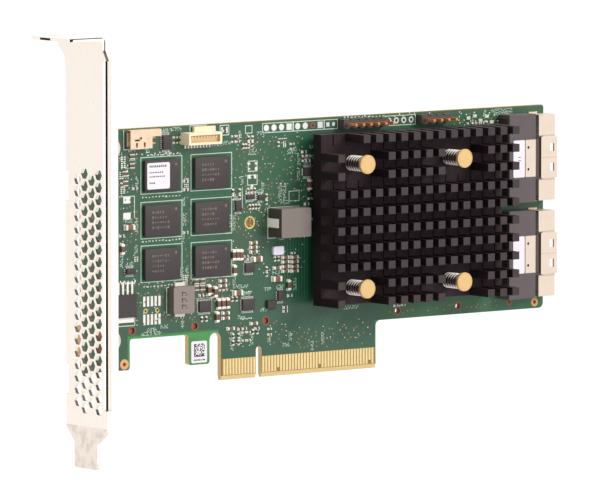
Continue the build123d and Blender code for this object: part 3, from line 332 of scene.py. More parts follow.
def math_node(tree, operation, *values):
    """Add a Math node and return its result."""
    return put(tree, "ShaderNodeMath", dict(enumerate(values)), operation=operation).outputs[0]


def new_group(name, kind, inputs, outputs):
    """Start a node group with named sockets, and return it with its two end nodes."""
    tree = bpy.data.node_groups.new(name, kind)
    for label, socket, value in inputs:
        made = tree.interface.new_socket(label, in_out="INPUT", socket_type=socket)
        if value is not None:
            made.default_value = value
    for label, socket in outputs:
        tree.interface.new_socket(label, in_out="OUTPUT", socket_type=socket)
    return tree, tree.nodes.new("NodeGroupInput"), tree.nodes.new("NodeGroupOutput")


def mottle_group():
    """Shader group: a colour that drifts lighter and darker over the surface."""
    tree, start, end = new_group("Mottle", "ShaderNodeTree", [
        ("Color", "NodeSocketColor", (0.5, 0.5, 0.5, 1)), ("Amount", "NodeSocketFloat", 0.1),
        ("Scale", "NodeSocketFloat", 400.0)], [("Color", "NodeSocketColor")])
    place = put(tree, "ShaderNodeTexCoord")
    noise = put(tree, "ShaderNodeTexNoise", {"Vector": place.outputs["Object"],
                                             "Scale": start.outputs["Scale"], "Detail": 4.0})
    centred = math_node(tree, "SUBTRACT", noise.outputs["Fac"], 0.5)
    swing = math_node(tree, "MULTIPLY", centred, start.outputs["Amount"])
    factor = math_node(tree, "MULTIPLY_ADD", swing, 2.0, 1.0)
    tone = put(tree, "ShaderNodeVectorMath", {0: start.outputs["Color"], "Scale": factor},
               operation="SCALE")
    tree.links.new(tone.outputs[0], end.inputs["Color"])
    return tree


def grain_group():
    """Shader group: fine height and gloss grain, stretched along one direction if asked."""
    tree, start, end = new_group("Grain", "ShaderNodeTree", [
        ("Stretch", "NodeSocketVector", (1, 1, 1)), ("Scale", "NodeSocketFloat", 3000.0),
        ("Gloss", "NodeSocketFloat", 0.5), ("Spread", "NodeSocketFloat", 0.1)],
        [("Height", "NodeSocketFloat"), ("Roughness", "NodeSocketFloat")])
    place = put(tree, "ShaderNodeTexCoord")
    stretched = put(tree, "ShaderNodeVectorMath", {0: place.outputs["Object"], 1: start.outputs["Stretch"]},
                    operation="MULTIPLY")
    noise = put(tree, "ShaderNodeTexNoise", {"Vector": stretched.outputs[0],
                                             "Scale": start.outputs["Scale"], "Detail": 3.0})
    centred = math_node(tree, "SUBTRACT", noise.outputs["Fac"], 0.5)
    rough = math_node(tree, "MULTIPLY_ADD", centred, start.outputs["Spread"], start.outputs["Gloss"])
    tree.links.new(noise.outputs["Fac"], end.inputs["Height"])
    tree.links.new(rough, end.inputs["Roughness"])
    return tree


def zone_group():
    """Shader group: 1 inside a box of the board's face and 0 outside it, with a soft edge."""
    tree, start, end = new_group("Board Zone", "ShaderNodeTree", [
        ("Middle", "NodeSocketVector", (0, 0, 0)), ("Half Size", "NodeSocketVector", (1, 1, 1)),
        ("Softness", "NodeSocketFloat", 0.0002)], [("Mask", "NodeSocketFloat")])
    place = put(tree, "ShaderNodeTexCoord")
    offset = put(tree, "ShaderNodeVectorMath", {0: place.outputs["Object"], 1: start.outputs["Middle"]},
                 operation="SUBTRACT")
    size = put(tree, "ShaderNodeVectorMath", {0: offset.outputs[0]}, operation="ABSOLUTE")
    depth = put(tree, "ShaderNodeVectorMath", {0: start.outputs["Half Size"], 1: size.outputs[0]},
                operation="SUBTRACT")
    split = put(tree, "ShaderNodeSeparateXYZ", {0: depth.outputs[0]})
    least = math_node(tree, "MINIMUM", split.outputs["X"], split.outputs["Z"])
    ramp = put(tree, "ShaderNodeMath", {0: least, 1: start.outputs["Softness"]}, operation="DIVIDE",
               use_clamp=True)
    tree.links.new(ramp.outputs[0], end.inputs["Mask"])
    return tree


def trace_group():
    """Shader group: parallel copper traces under the solder mask, at any angle."""
    tree, start, end = new_group("Traces", "ShaderNodeTree", [
        ("Angle", "NodeSocketFloat", 0.0), ("Pitch", "NodeSocketFloat", 0.0006),
        ("Fill", "NodeSocketFloat", 0.5), ("Patchiness", "NodeSocketFloat", 0.5)],
        [("Mask", "NodeSocketFloat")])
    place = put(tree, "ShaderNodeTexCoord")
    turned = put(tree, "ShaderNodeVectorRotate", {"Vector": place.outputs["Object"],
                                                  "Angle": start.outputs["Angle"]},
                 rotation_type="Y_AXIS")
    split = put(tree, "ShaderNodeSeparateXYZ", {0: turned.outputs[0]})
    steps = math_node(tree, "DIVIDE", split.outputs["X"], start.outputs["Pitch"])
    part = math_node(tree, "FRACT", steps)
    line = math_node(tree, "LESS_THAN", part, start.outputs["Fill"])
    lane = math_node(tree, "FLOOR", steps)
    run = math_node(tree, "MULTIPLY", split.outputs["Z"], 60.0)
    spot = put(tree, "ShaderNodeCombineXYZ", {"X": lane, "Z": run})
    patch = put(tree, "ShaderNodeTexNoise", {"Vector": spot.outputs[0], "Scale": 0.77, "Detail": 0.0})
    keep = math_node(tree, "GREATER_THAN", patch.outputs["Fac"], start.outputs["Patchiness"])
    tree.links.new(math_node(tree, "MULTIPLY", line, keep), end.inputs["Mask"])
    return tree


def place_tree():
    """Geometry group: one block on each point, sized and turned by the point's attributes."""
    tree, start, end = new_group("Placed Blocks", "GeometryNodeTree", [
        ("Points", "NodeSocketGeometry", None), ("Finish", "NodeSocketMaterial", None)],
        [("Blocks", "NodeSocketGeometry")])
    block = put(tree, "GeometryNodeMeshCube", {"Size": (1, 1, 1)})
    size = put(tree, "GeometryNodeInputNamedAttribute", {"Name": "size"}, data_type="FLOAT_VECTOR")
    turn = put(tree, "GeometryNodeInputNamedAttribute", {"Name": "turn"}, data_type="FLOAT")
    spin = put(tree, "ShaderNodeCombineXYZ", {"Y": turn.outputs["Attribute"]})
    placed = put(tree, "GeometryNodeInstanceOnPoints", {
        "Points": start.outputs["Points"], "Instance": block.outputs["Mesh"],
        "Rotation": spin.outputs[0], "Scale": size.outputs["Attribute"]})
    real = put(tree, "GeometryNodeRealizeInstances", {"Geometry": placed.outputs[0]})
    dressed = put(tree, "GeometryNodeSetMaterial", {"Geometry": real.outputs[0],
                                                    "Material": start.outputs["Finish"]})
    tree.links.new(dressed.outputs[0], end.inputs["Blocks"])
    return tree


def dot_tree():
    """Geometry group: small round dots strewn over faces, no two closer than the spacing."""
    tree, start, end = new_group("Strewn Dots", "GeometryNodeTree", [
        ("Ground", "NodeSocketGeometry", None), ("Radius", "NodeSocketFloat", 0.0002),
        ("Height", "NodeSocketFloat", 0.00002), ("Spacing", "NodeSocketFloat", 0.001),
        ("Density", "NodeSocketFloat", 100000.0), ("Seed", "NodeSocketInt", 1),
        ("Finish", "NodeSocketMaterial", None)], [("Dots", "NodeSocketGeometry")])
    strewn = put(tree, "GeometryNodeDistributePointsOnFaces", {
        "Mesh": start.outputs["Ground"], "Distance Min": start.outputs["Spacing"],
        "Density Max": start.outputs["Density"], "Seed": start.outputs["Seed"]},
        distribute_method="POISSON")
    dot = put(tree, "GeometryNodeMeshCylinder", {"Vertices": 10, "Radius": start.outputs["Radius"],
                                                 "Depth": start.outputs["Height"]})
    placed = put(tree, "GeometryNodeInstanceOnPoints", {
        "Points": strewn.outputs["Points"], "Instance": dot.outputs["Mesh"],
        "Rotation": (math.pi / 2, 0, 0)})
    real = put(tree, "GeometryNodeRealizeInstances", {"Geometry": placed.outputs[0]})
    dressed = put(tree, "GeometryNodeSetMaterial", {"Geometry": real.outputs[0],
                                                    "Material": start.outputs["Finish"]})
    tree.links.new(dressed.outputs[0], end.inputs["Dots"])
    return tree


GROUP_MAKERS = {"Mottle": mottle_group, "Grain": grain_group, "Board Zone": zone_group,
                "Traces": trace_group, "Placed Blocks": place_tree, "Strewn Dots": dot_tree}


def group(name):
    """Node group of that name, built the first time it is asked for."""
    return bpy.data.node_groups.get(name) or GROUP_MAKERS[name]()


def use_group(tree, name, inputs):
    """Place a shader group in a material."""
    return put(tree, "ShaderNodeGroup", inputs, node_tree=group(name))


def use_nodes_modifier(piece, name, values):
    """Put a geometry group on a piece, with its inputs set by their names."""
    modifier = piece.modifiers.new(name, "NODES")
    tree = group(name)
    modifier.node_group = tree
    for item in tree.interface.items_tree:
        if item.in_out == "INPUT" and item.name in values:
            modifier[item.identifier] = values[item.name]


def rgb(color):
    """Colour written as 8-bit display values, made linear."""
    channels = [c / 255 for c in color]
    linear = [c / 12.92 if c <= 0.04045 else ((c + 0.055) / 1.055) ** 2.4 for c in channels]
    return (*linear, 1.0)


def known(name):
    """Finish made earlier under that name, if there is one."""
    return bpy.data.materials.get(f"finish_{name}")


def surface(name, color, rough=0.5, spread=0.1, metal=0.0, mottle=0.1, scale=400.0, grain=3000.0,
            stretch=(1, 1, 1), bump=0.1, coat=0.0, depth=0.00003):
    """Material with drifting colour, grained gloss and a fine relief."""
    if known(name):
        return known(name)
    material = bpy.data.materials.new(f"finish_{name}")
    material.use_nodes = True
    tree = material.node_tree
    shader = tree.nodes["Principled BSDF"]
    tone = use_group(tree, "Mottle", {"Color": rgb(color), "Amount": mottle, "Scale": scale})
    fine = use_group(tree, "Grain", {"Stretch": stretch, "Scale": grain, "Gloss": rough, "Spread": spread})
    relief = put(tree, "ShaderNodeBump", {"Height": fine.outputs["Height"], "Strength": bump,
                                          "Distance": depth})
    tree.links.new(tone.outputs["Color"], shader.inputs["Base Color"])
    tree.links.new(fine.outputs["Roughness"], shader.inputs["Roughness"])
    tree.links.new(relief.outputs["Normal"], shader.inputs["Normal"])
    shader.inputs["Metallic"].default_value = metal
    shader.inputs["Coat Weight"].default_value = coat
    return material


def below(tree, value, limit):
    """1 where a value is under the limit."""
    return math_node(tree, "LESS_THAN", value, limit)


def above(tree, value, limit):
    """1 where a value is over the limit."""
    return math_node(tree, "GREATER_THAN", value, limit)


def band(tree, value, middle, half):
    """1 where a value is within half of the middle."""
    return below(tree, math_node(tree, "ABSOLUTE", math_node(tree, "SUBTRACT", value, middle)), half)


def all_of(tree, *masks):
    """1 where every mask is 1."""
    product = masks[0]
    for mask in masks[1:]:
        product = math_node(tree, "MULTIPLY", product, mask)
    return product


def mix_colors(tree, factor, one, two):
    """One colour where the factor is 0, and the other where it is 1."""
    return put(tree, "ShaderNodeMix", {"Factor": factor, 6: one, 7: two}, data_type="RGBA").outputs[2]


def lay_over(tree, tone, parts):
    """Lay colours over a tone: each part is (mask, strength, linear colour)."""
    for mask, strength, color in parts:
        tone = mix_colors(tree, math_node(tree, "MULTIPLY", mask, strength), tone, color)
    return tone


def tint(material, *parts):
    """Lay colours over a material: each part is (mask, strength, 8-bit colour)."""
    tree = material.node_tree
    shader = tree.nodes["Principled BSDF"]
    tone = shader.inputs["Base Color"].links[0].from_socket
    tone = lay_over(tree, tone, [(mask, strength, rgb(color)) for mask, strength, color in parts])
    tree.links.new(tone, shader.inputs["Base Color"])
    return material


def object_space(material):
    """Normal and position sockets of a material, split into X, Y and Z."""
    tree = material.node_tree
    place = put(tree, "ShaderNodeTexCoord")
    return (put(tree, "ShaderNodeSeparateXYZ", {0: place.outputs["Normal"]}).outputs,
            put(tree, "ShaderNodeSeparateXYZ", {0: place.outputs["Object"]}).outputs)


# Plain finishes: 8-bit colour, and what differs from the usual values of surface()
FINISHES = {
    "contact_gold": ((228, 205, 146), {"rough": 0.35, "metal": 0.4, "mottle": 0.08, "scale": 900,
                                       "stretch": (1, 1, 0.1), "bump": 0.08}),
    "pin_gold": ((222, 150, 84), {"rough": 0.35, "metal": 0.6, "mottle": 0.25, "scale": 900, "bump": 0.2}),
    "solder_tin": ((236, 230, 220), {"rough": 0.45, "metal": 0.2, "mottle": 0.14, "scale": 1500,
                                     "bump": 0.3}),
    "bare_copper": ((136, 84, 62), {"rough": 0.45, "metal": 0.25, "mottle": 0.25, "scale": 1200}),
    "hole_copper": ((92, 36, 26), {"metal": 0.3, "mottle": 0.2, "scale": 1200}),
    "via_copper": ((150, 112, 84), {"metal": 0.2, "mottle": 0.3, "scale": 1600}),
    "plug_copper": ((150, 78, 50), {"mottle": 0.4, "scale": 900}),
    "tan_ring": ((214, 160, 104), {"mottle": 0.2, "scale": 900}),
    "bare_pad": ((226, 224, 218), {"rough": 0.45, "metal": 0.25, "scale": 1500, "bump": 0.2}),
    "eyelet_rim": ((196, 192, 112), {"mottle": 0.15, "scale": 1500}),
    "eyelet_resin": ((142, 104, 62), {"rough": 0.6, "mottle": 0.3, "scale": 1500}),
    "legend_ink": ((204, 222, 208), {"rough": 0.75, "mottle": 0.2, "scale": 2500, "bump": 0.2}),
    "black_moulding": ((54, 45, 46), {"rough": 0.62, "spread": 0.2, "mottle": 0.14, "scale": 700,
                                      "grain": 9000, "bump": 0.35}),
    "label_paper": ((232, 226, 232), {"rough": 0.75, "mottle": 0.03, "scale": 300, "grain": 6000,
                                      "bump": 0.12}),
    "label_print": ((58, 52, 56), {"rough": 0.8, "mottle": 0.2, "scale": 3000}),
    "laser_mark": ((112, 98, 90), {"rough": 0.75, "mottle": 0.2, "scale": 3000}),
    "black_plastic": ((70, 62, 62), {"scale": 500, "grain": 5000, "bump": 0.2}),
    # dark_leads are tinned leads painted dark: painted shadow of the heatsink.
    "dark_leads": ((58, 48, 44), {"rough": 0.45, "metal": 0.4, "mottle": 0.3, "scale": 1500, "bump": 0.2}),
    "pin_brass": ((216, 178, 120), {"rough": 0.55, "metal": 0.1, "mottle": 0.03, "scale": 600, "bump": 0.06}),
    # pin_shank is near black: painted shade on the brass shank inside the spring.
    "pin_shank": ((34, 20, 16), {"rough": 0.6, "metal": 0.1, "mottle": 0.2, "scale": 600}),
    "screw_steel": ((206, 202, 194), {"rough": 0.33, "metal": 0.7, "scale": 900, "bump": 0.2}),
    "pad_rubber": ((150, 150, 156), {"rough": 0.8, "mottle": 0.08, "bump": 0.2}),
    "chip_laminate": ((44, 92, 66), {"rough": 0.45, "scale": 500}),
    "clip_tin": ((252, 246, 236), {"rough": 0.6, "mottle": 0.2, "scale": 700}),
    "crystal_can": ((224, 220, 232), {"rough": 0.4, "metal": 0.2, "scale": 900}),
    "lamp_resin": ((214, 220, 200), {"rough": 0.2, "mottle": 0.05, "coat": 0.5}),
}


def plain(name):
    """Plain finish of that name."""
    color, settings = FINISHES[name]
    return surface(name, color, **settings)


def cream_nylon():
    """Cream nylon of the upright connector, with painted tan shade inside its mouth."""
    if known("cream_nylon"):
        return known("cream_nylon")
    material = surface("cream_nylon", (240, 226, 192), mottle=0.07, scale=350, grain=4000, bump=0.15)
    tree = material.node_tree
    _, spot = object_space(material)
    low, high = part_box("sensor_connector")
    inside = all_of(tree, above(tree, spot["Y"], low[1] + 0.25 * MM),
                    band(tree, spot["X"], (low[0] + high[0]) / 2, (high[0] - low[0]) / 2 - 0.6 * MM),
                    band(tree, spot["Z"], 65.4 * MM, 0.98 * MM))
    # Painted shade: the mouth of the connector is tinted tan.
    return tint(material, (inside, 0.85, (208, 172, 114)))


def blush_nylon():
    """Pink-cream nylon of the battery connector, in shade on the side where its plug enters."""
    material = surface("blush_nylon", (228, 199, 170), mottle=0.2, scale=420, grain=4000, bump=0.15)
    normal, _ = object_space(material)
    return tint(material, (below(material.node_tree, normal["X"], -0.8), 0.8, (52, 40, 30)))


def port_nylon():
    """Dark nylon of the ports, with painted shade in darker brown on the nose under the shell's hood."""
    if known("port_nylon"):
        return known("port_nylon")
    material = surface("port_nylon", (84, 73, 76), rough=0.55, spread=0.15, mottle=0.1, scale=350, grain=5000,
                       bump=0.25)
    _, spot = object_space(material)
    # Painted shade: the nose beyond X 91.5 mm is tinted darker brown.
    return tint(material, (above(material.node_tree, spot["X"], 91.5 * MM), 0.7, (74, 52, 44)))


def port_shell_tin(side):
    """Tinned shell sheet: folded strips meet in fine lines, and the end wall and the floor lie in shade."""
    material = surface(f"{side}_shell_tin", (214, 197, 181), rough=0.45, spread=0.2, metal=0.3, mottle=0.04,
                       scale=250, stretch=(1, 1, 0.2), bump=0.08)
    tree = material.node_tree
    normal, spot = object_space(material)
    low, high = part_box(f"{side}_port_shell")
    length = high[2] - low[2]
    end_wall = all_of(tree, below(tree, normal["X"], -0.7), below(tree, spot["X"], low[0] + 0.8 * MM))
    inner_floor = all_of(tree, above(tree, spot["Y"], -2.0 * MM),
                         band(tree, spot["Z"], (low[2] + high[2]) / 2, length / 2 - 0.6 * MM))
    parts = [(end_wall, 0.95, (44, 50, 36)), (inner_floor, 0.92, (46, 56, 38))]
    face = band(tree, normal["Y"], -1.0, 0.2)
    for share, strength in ((0.253, 0.55), (0.745, 0.55), (0.5, 0.25)):
        line = all_of(tree, face, band(tree, spot["Z"], low[2] + share * length, 0.14 * MM))
        parts.append((line, strength, (150, 128, 112)))
    return tint(material, *parts)


def latch_tin():
    """Tinned latch plate, with painted shade on its edges and hole walls."""
    if known("latch_tin"):
        return known("latch_tin")
    material = surface("latch_tin", (214, 197, 181), rough=0.45, spread=0.2, metal=0.3, mottle=0.04,
                       scale=250)
    normal, _ = object_space(material)
    # Painted shade: side faces, the edges and hole walls, are tinted near black.
    return tint(material, (band(material.node_tree, normal["Y"], 0.0, 0.7), 0.9, (38, 28, 26)))


def ferrite(name, color, side):
    """Pressed iron powder, with painted shade on the side that faces the bracket."""
    material = surface(name, color, rough=0.68, mottle=0.12, scale=1500, grain=7000, bump=0.4)
    normal, _ = object_space(material)
    # Painted shade: faces toward -X take the shade colour.
    return tint(material, (below(material.node_tree, normal["X"], -0.7), 0.85, side))


def ceramic(name, color):
    """Fired ceramic of a small part."""
    return surface(name, color, rough=0.42, mottle=0.12, scale=1800, grain=6000, bump=0.15)


def spring_wire():
    """Spring wire, bright on the near top and bottom of each turn, with painted shade over the middle of the
    turns and the far side of the coil.
    """
    if known("spring_wire"):
        return known("spring_wire")
    material = surface("spring_wire", (250, 244, 236), rough=0.4, metal=0.2, mottle=0.1, scale=900, bump=0.1)
    # Painted shade: where the stored rise is low, the middle of each turn and the far side, the wire is
    # tinted dark.
    rise = put(material.node_tree, "ShaderNodeAttribute", attribute_name="rise")
    middle = put(material.node_tree, "ShaderNodeMapRange", {
        "Value": rise.outputs["Fac"], "From Min": 0.6, "From Max": 0.3})
    return tint(material, (middle.outputs[0], 0.95, (62, 38, 30)))


def sink_anodised():
    """Black anodised aluminium, with painted light on the ends of the pins and painted shade on the sides
    that face the bracket.
    """
    if known("sink_anodised"):
        return known("sink_anodised")
    material = surface("sink_anodised", (38, 23, 28), rough=0.6, spread=0.25, mottle=0.22, scale=220,
                       grain=4200, stretch=(1, 0.12, 1), bump=0.3)
    tree = material.node_tree
    tree.nodes["Principled BSDF"].inputs["Specular IOR Level"].default_value = 0.22
    normal, spot = object_space(material)
    # Painted light: the pin ends, which face -Y, are paler. Painted shade: faces toward -X are darker.
    tips = all_of(tree, band(tree, normal["Y"], -1.0, 0.1),
                  below(tree, spot["Y"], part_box("heatsink")[0][1] + 0.3 * MM))
    return tint(material, (tips, 0.85, (64, 55, 57)), (below(tree, normal["X"], -0.7), 0.6, (17, 10, 11)))


def bracket_plate():
    """Bright plated sheet with painted shade on the hole walls, a painted dark reflection along the fold,
    painted shade lines round the tab and at the shoulder, a painted highlight on the flange, and a duller
    tongue.
    """
    if known("bracket_plate"):
        return known("bracket_plate")
    material = surface("bracket_plate", (255, 245, 234), rough=0.3, spread=0.2, metal=0.85, mottle=0.03,
                       scale=90, grain=1800, stretch=(1, 1, 0.06), bump=0.1)
    tree = material.node_tree
    normal, spot = object_space(material)
    low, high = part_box("bracket")
    tip = low[0]
    top = high[2]

    def across(axis, middle, half):
        """1 where the surface faces about that way along the axis."""
        return band(tree, normal[axis], middle, half)

    def between(axis, middle, half):
        """1 near a place along the axis, in metres."""
        return band(tree, spot[axis], middle, half)

    walls = across("X", 0.0, 0.3)
    near = across("Y", -1.0, 0.2)
    low_walls = all_of(tree, walls, across("Z", 0.6, 0.42), between("Z", 29.0 * MM, 34.5 * MM))
    high_walls = all_of(tree, walls, across("Z", -0.5, 0.2), across("Y", -0.86, 0.2))
    fold = all_of(tree, across("Y", -0.8, 0.12), across("X", -0.6, 0.2), across("Z", 0.0, 0.2))
    flange = all_of(tree, across("Y", -0.98, 0.08), between("Z", 36.0 * MM, 54.0 * MM))
    shoulder = all_of(tree, walls, across("Z", 0.45, 0.2), between("Z", 93.0 * MM, 6.0 * MM))
    tab_edge = all_of(tree, near, between("Z", top - 0.1 * MM, 0.14 * MM), between("X", -62.0 * MM, 9.6 * MM))
    tab_corner = all_of(tree, between("X", -71.5 * MM, 0.35 * MM), between("Y", -14.6 * MM, 0.6 * MM),
                        between("Z", top - 0.45 * MM, 0.32 * MM))
    tab_side = all_of(tree, near, between("X", -60.95 * MM, 0.26 * MM),
                      between("Z", top - 2.2 * MM, 2.1 * MM))
    tab_tip = all_of(tree, across("X", -1.0, 0.2), between("X", tip, 0.1 * MM),
                     between("Y", -3.9 * MM, 2.3 * MM), between("Z", top - 0.52 * MM, 0.3 * MM))
    tongue = below(tree, spot["Z"], -8.5 * MM)
    place = put(tree, "ShaderNodeTexCoord").outputs["Object"]
    smudge = put(tree, "ShaderNodeTexNoise", {"Vector": place, "Scale": 420.0, "Detail": 4.0})
    patchy = put(tree, "ShaderNodeMapRange", {"Value": smudge.outputs["Fac"], "From Min": 0.45,
                                              "From Max": 0.62})
    # Painted light and shade: the flange is painted whiter; the hole walls, fold, tab lines and shoulder are
    # painted dark. The tongue is duller and patchy.
    return tint(material, (tongue, 0.45, (232, 214, 202)),
                (all_of(tree, tongue, patchy.outputs[0]), 0.4, (196, 178, 168)),
                (flange, 0.7, (255, 253, 250)), (high_walls, 0.2, (190, 176, 150)),
                (low_walls, 0.95, (44, 30, 22)), (fold, 1.0, (26, 17, 8)), (tab_edge, 1.0, (30, 24, 20)),
                (tab_corner, 1.0, (10, 6, 6)), (tab_tip, 1.0, (20, 12, 10)), (tab_side, 0.8, (60, 48, 40)),
                (shoulder, 0.9, (30, 24, 18)))


def solder_mask(settings):
    """Green solder mask over copper, brighter where no copper lies below, with bare edges and painted shadow
    under the heatsink.
    """
    material = bpy.data.materials.new("solder_mask")
    material.use_nodes = True
    tree = material.node_tree
    shader = tree.nodes["Principled BSDF"]

    def zone(low, high, soft=0.3):
        """1 inside a rectangle of the board, given by two corners (x, z)."""
        middle = ((low[0] + high[0]) / 2 * MM, 0, (low[1] + high[1]) / 2 * MM)
        half = ((high[0] - low[0]) / 2 * MM, 1, (high[1] - low[1]) / 2 * MM)
        return use_group(tree, "Board Zone", {"Middle": middle, "Half Size": half,
                                              "Softness": soft * MM}).outputs["Mask"]

    def traces(angle, pitch, fill, patchiness):
        """1 on a field of parallel traces."""
        return use_group(tree, "Traces", {"Angle": math.radians(angle), "Pitch": pitch * MM, "Fill": fill,
                                          "Patchiness": patchiness}).outputs["Mask"]

    def both(one, two):
        """1 where both masks are 1."""
        return all_of(tree, one, two)

    poured, clear, trace_and_shadow_tone, edge = (tuple(color) + (1.0,) for color in (
        settings.mask_color, settings.clear_color, settings.trace_and_shadow_color, settings.laminate_color))
    place = put(tree, "ShaderNodeTexCoord")
    facing = put(tree, "ShaderNodeSeparateXYZ", {0: place.outputs["Normal"]})
    patches = put(tree, "ShaderNodeTexNoise", {"Vector": place.outputs["Object"], "Scale": 55.0,
                                               "Detail": 3.0})
    cloud = put(tree, "ShaderNodeMapRange", {"Value": patches.outputs["Fac"], "From Min": 0.42,
                                             "From Max": 0.6}).outputs[0]
    memory_zone = zone((-40.0, 28.0), (-8.0, 62.0), 1.0)
    dark_zone = zone((4.0, 19.0), (20.0, 39.0), 2.5)
    stripe = traces(0, 0.95, 0.4, 0.3)
    fan = both(zone((2.0, 6.0), (39.0, 18.0), 3.0), traces(-38, 0.75, 0.5, 0.46))
    # Painted shadow of the heatsink on the board below it, in the deep trace colour.
    sink_shadow = both(zone((15.5, 18.0), (80.0, 62.5), 1.5), below(tree, facing.outputs["Y"], 0.0))
    top_lip = zone((BOARD_LOW[0], BOARD_HIGH[2] - 0.5), (BOARD_HIGH[0], BOARD_HIGH[2] + 1.0))
    tone = use_group(tree, "Mottle", {"Color": poured, "Amount": 0.1, "Scale": 500.0}).outputs["Color"]
    tone = lay_over(tree, tone, (
        (both(cloud, zone((-48.0, 14.0), (4.0, 68.0), 6.0)), 0.55, rgb((70, 84, 60))),
        (zone((-12.0, 40.0), (20.0, 68.5), 4.0), 0.45, rgb((36, 92, 60))),
        (memory_zone, 0.5, rgb((22, 84, 58))),
        (both(memory_zone, traces(90, 0.5, 0.45, 0.5)), 0.12, clear),
        (dark_zone, 0.85, trace_and_shadow_tone),
        (both(dark_zone, stripe), 0.8, rgb((46, 104, 74))),
        (fan, 0.38, trace_and_shadow_tone),
        (zone((39.0, 12.0), (99.0, 70.0), 3.0), 0.6, rgb((38, 92, 52))),
        (sink_shadow, 0.6, trace_and_shadow_tone),
        (top_lip, 0.7, rgb((98, 102, 50)))))

    # No copper is poured along the edges, so the mask is brighter there
    poured_area = zone((BOARD_LOW[0] - 1.0, 13.1), (-10.0, BOARD_HIGH[2] + 1.0), 0.9)
    for part in (zone((-12.0, 12.8), (BOARD_HIGH[0] + 1.0, BOARD_HIGH[2] + 1.0)),
                 zone((-13.6, -2.0), (39.5, 16.0), 0.2),
                 zone((BOARD_LOW[0] - 1.0, -2.0), (-43.0, 16.0), 0.6)):
        poured_area = math_node(tree, "MAXIMUM", poured_area, part)
    tone = mix_colors(tree, poured_area, clear, tone)
    beside_label = math_node(tree, "SUBTRACT", 1.0, zone((-20.2, 7.4), (-14.4, 20.0), 0.8))
    label_tab = both(zone((-24.0, 4.0), (-12.8, 12.5), 0.5), beside_label)
    tone = lay_over(tree, tone, ((label_tab, 0.7, rgb((70, 122, 72))),))

    flat = above(tree, math_node(tree, "ABSOLUTE", facing.outputs["Y"]), 0.97)
    finger = zone((-12.45, -5.0), (39.45, 5.7), 0.05)
    tone = mix_colors(tree, flat, edge, mix_colors(tree, finger, tone, rgb((150, 108, 58))))
    fine = use_group(tree, "Grain", {"Scale": 2500.0, "Gloss": 0.36, "Spread": 0.2})
    ridges = math_node(tree, "ADD", math_node(tree, "MULTIPLY", fine.outputs["Height"], 0.2),
                       both(stripe, dark_zone))
    relief = put(tree, "ShaderNodeBump", {"Height": ridges, "Strength": 0.35, "Distance": 0.00003})
    tree.links.new(tone, shader.inputs["Base Color"])
    tree.links.new(fine.outputs["Roughness"], shader.inputs["Roughness"])
    tree.links.new(relief.outputs["Normal"], shader.inputs["Normal"])
    return material


def ring_piece(name, finish, rings):
    """Make one piece from rings, given as (centre, inner radius, outer radius, settings of add_ring)."""
    bm = bmesh.new()
    for centre, inner, outer, settings in rings:
        add_ring(bm, centre, inner, outer, **settings)
    make_piece(name, bm, plain(finish))


def dress_node(name, material):
    """Give a node of the frame its finish."""
    mesh = frame["nodes"][name].data
    mesh.materials.clear()
    mesh.materials.append(material)


def placed_blocks(name, blocks, material, replaces=(), bevel=0.0):
    """Make one piece from many blocks, given as (middle, size, turn), with a geometry group."""
    mesh = bpy.data.meshes.new(name)
    mesh.from_pydata([[v * MM for v in middle] for middle, _, _ in blocks], [], [])
    sizes = mesh.attributes.new("size", "FLOAT_VECTOR", "POINT")
    sizes.data.foreach_set("vector", [v * MM for _, size, _ in blocks for v in size])
    turns = mesh.attributes.new("turn", "FLOAT", "POINT")
    turns.data.foreach_set("value", [turn for _, _, turn in blocks])
    piece = new_object(name, mesh)
    use_nodes_modifier(piece, "Placed Blocks", {"Finish": material})
    if bevel:
        rounding = piece.modifiers.new("Rounding", "BEVEL")
        rounding.width = bevel * MM
        rounding.segments = 2
    apply_modifiers(piece)
    for attribute in ("size", "turn"):
        if attribute in piece.data.attributes:
            piece.data.attributes.remove(piece.data.attributes[attribute])
    piece.data.shade_smooth()
    piece.data.set_sharp_from_angle(angle=math.radians(35))
    finish_piece(piece, replaces)
    return piece


def strewn_dots(name, zones, material, radius, spacing, density, seed, back=False):
    """Strew small round dots over rectangles (x low, z low, x high, z high) of one side of the board."""
    mesh = bpy.data.meshes.new(name)
    points = []
    faces = []
    level = (BACK + COPPER_T / 2 if back else FRONT - COPPER_T / 2) * MM
    for x0, z0, x1, z1 in zones:
        faces.append([len(points) + i for i in range(4)])
        points += [(x0 * MM, level, z0 * MM), (x1 * MM, level, z0 * MM), (x1 * MM, level, z1 * MM),
                   (x0 * MM, level, z1 * MM)]
    mesh.from_pydata(points, [], faces)
    piece = new_object(name, mesh)
    use_nodes_modifier(piece, "Strewn Dots", {
        "Radius": radius * MM, "Height": COPPER_T * MM, "Spacing": spacing * MM, "Density": density,
        "Seed": seed, "Finish": material})
    apply_modifiers(piece)
    finish_piece(piece)
    return piece


def over(x, z, height):
    """Point above the component side."""
    return (x, FRONT - height, z)


class CardBoardSettings(bpy.types.PropertyGroup):
    """Colours of the circuit board."""
    mask_color: FloatVectorProperty(name="Solder mask", description="Solder mask over poured copper",
                                    subtype="COLOR", size=3, default=rgb((45, 83, 62))[:3])
    clear_color: FloatVectorProperty(name="Clear laminate", description="Solder mask with no copper below",
                                     subtype="COLOR", size=3, default=rgb((64, 140, 70))[:3])
    # This colour is also painted as the shadow of the heatsink on the board.
    trace_and_shadow_color: FloatVectorProperty(name="Buried trace", description="Solder mask over the deep traces",
                                     subtype="COLOR", size=3, default=rgb((14, 66, 42))[:3])
    laminate_color: FloatVectorProperty(name="Laminate edge", description="Bare glass-fibre edge",
                                        subtype="COLOR", size=3, default=rgb((216, 190, 132))[:3])
    via_seed: IntProperty(name="Via seed", description="Seed of the strewn vias", default=7)


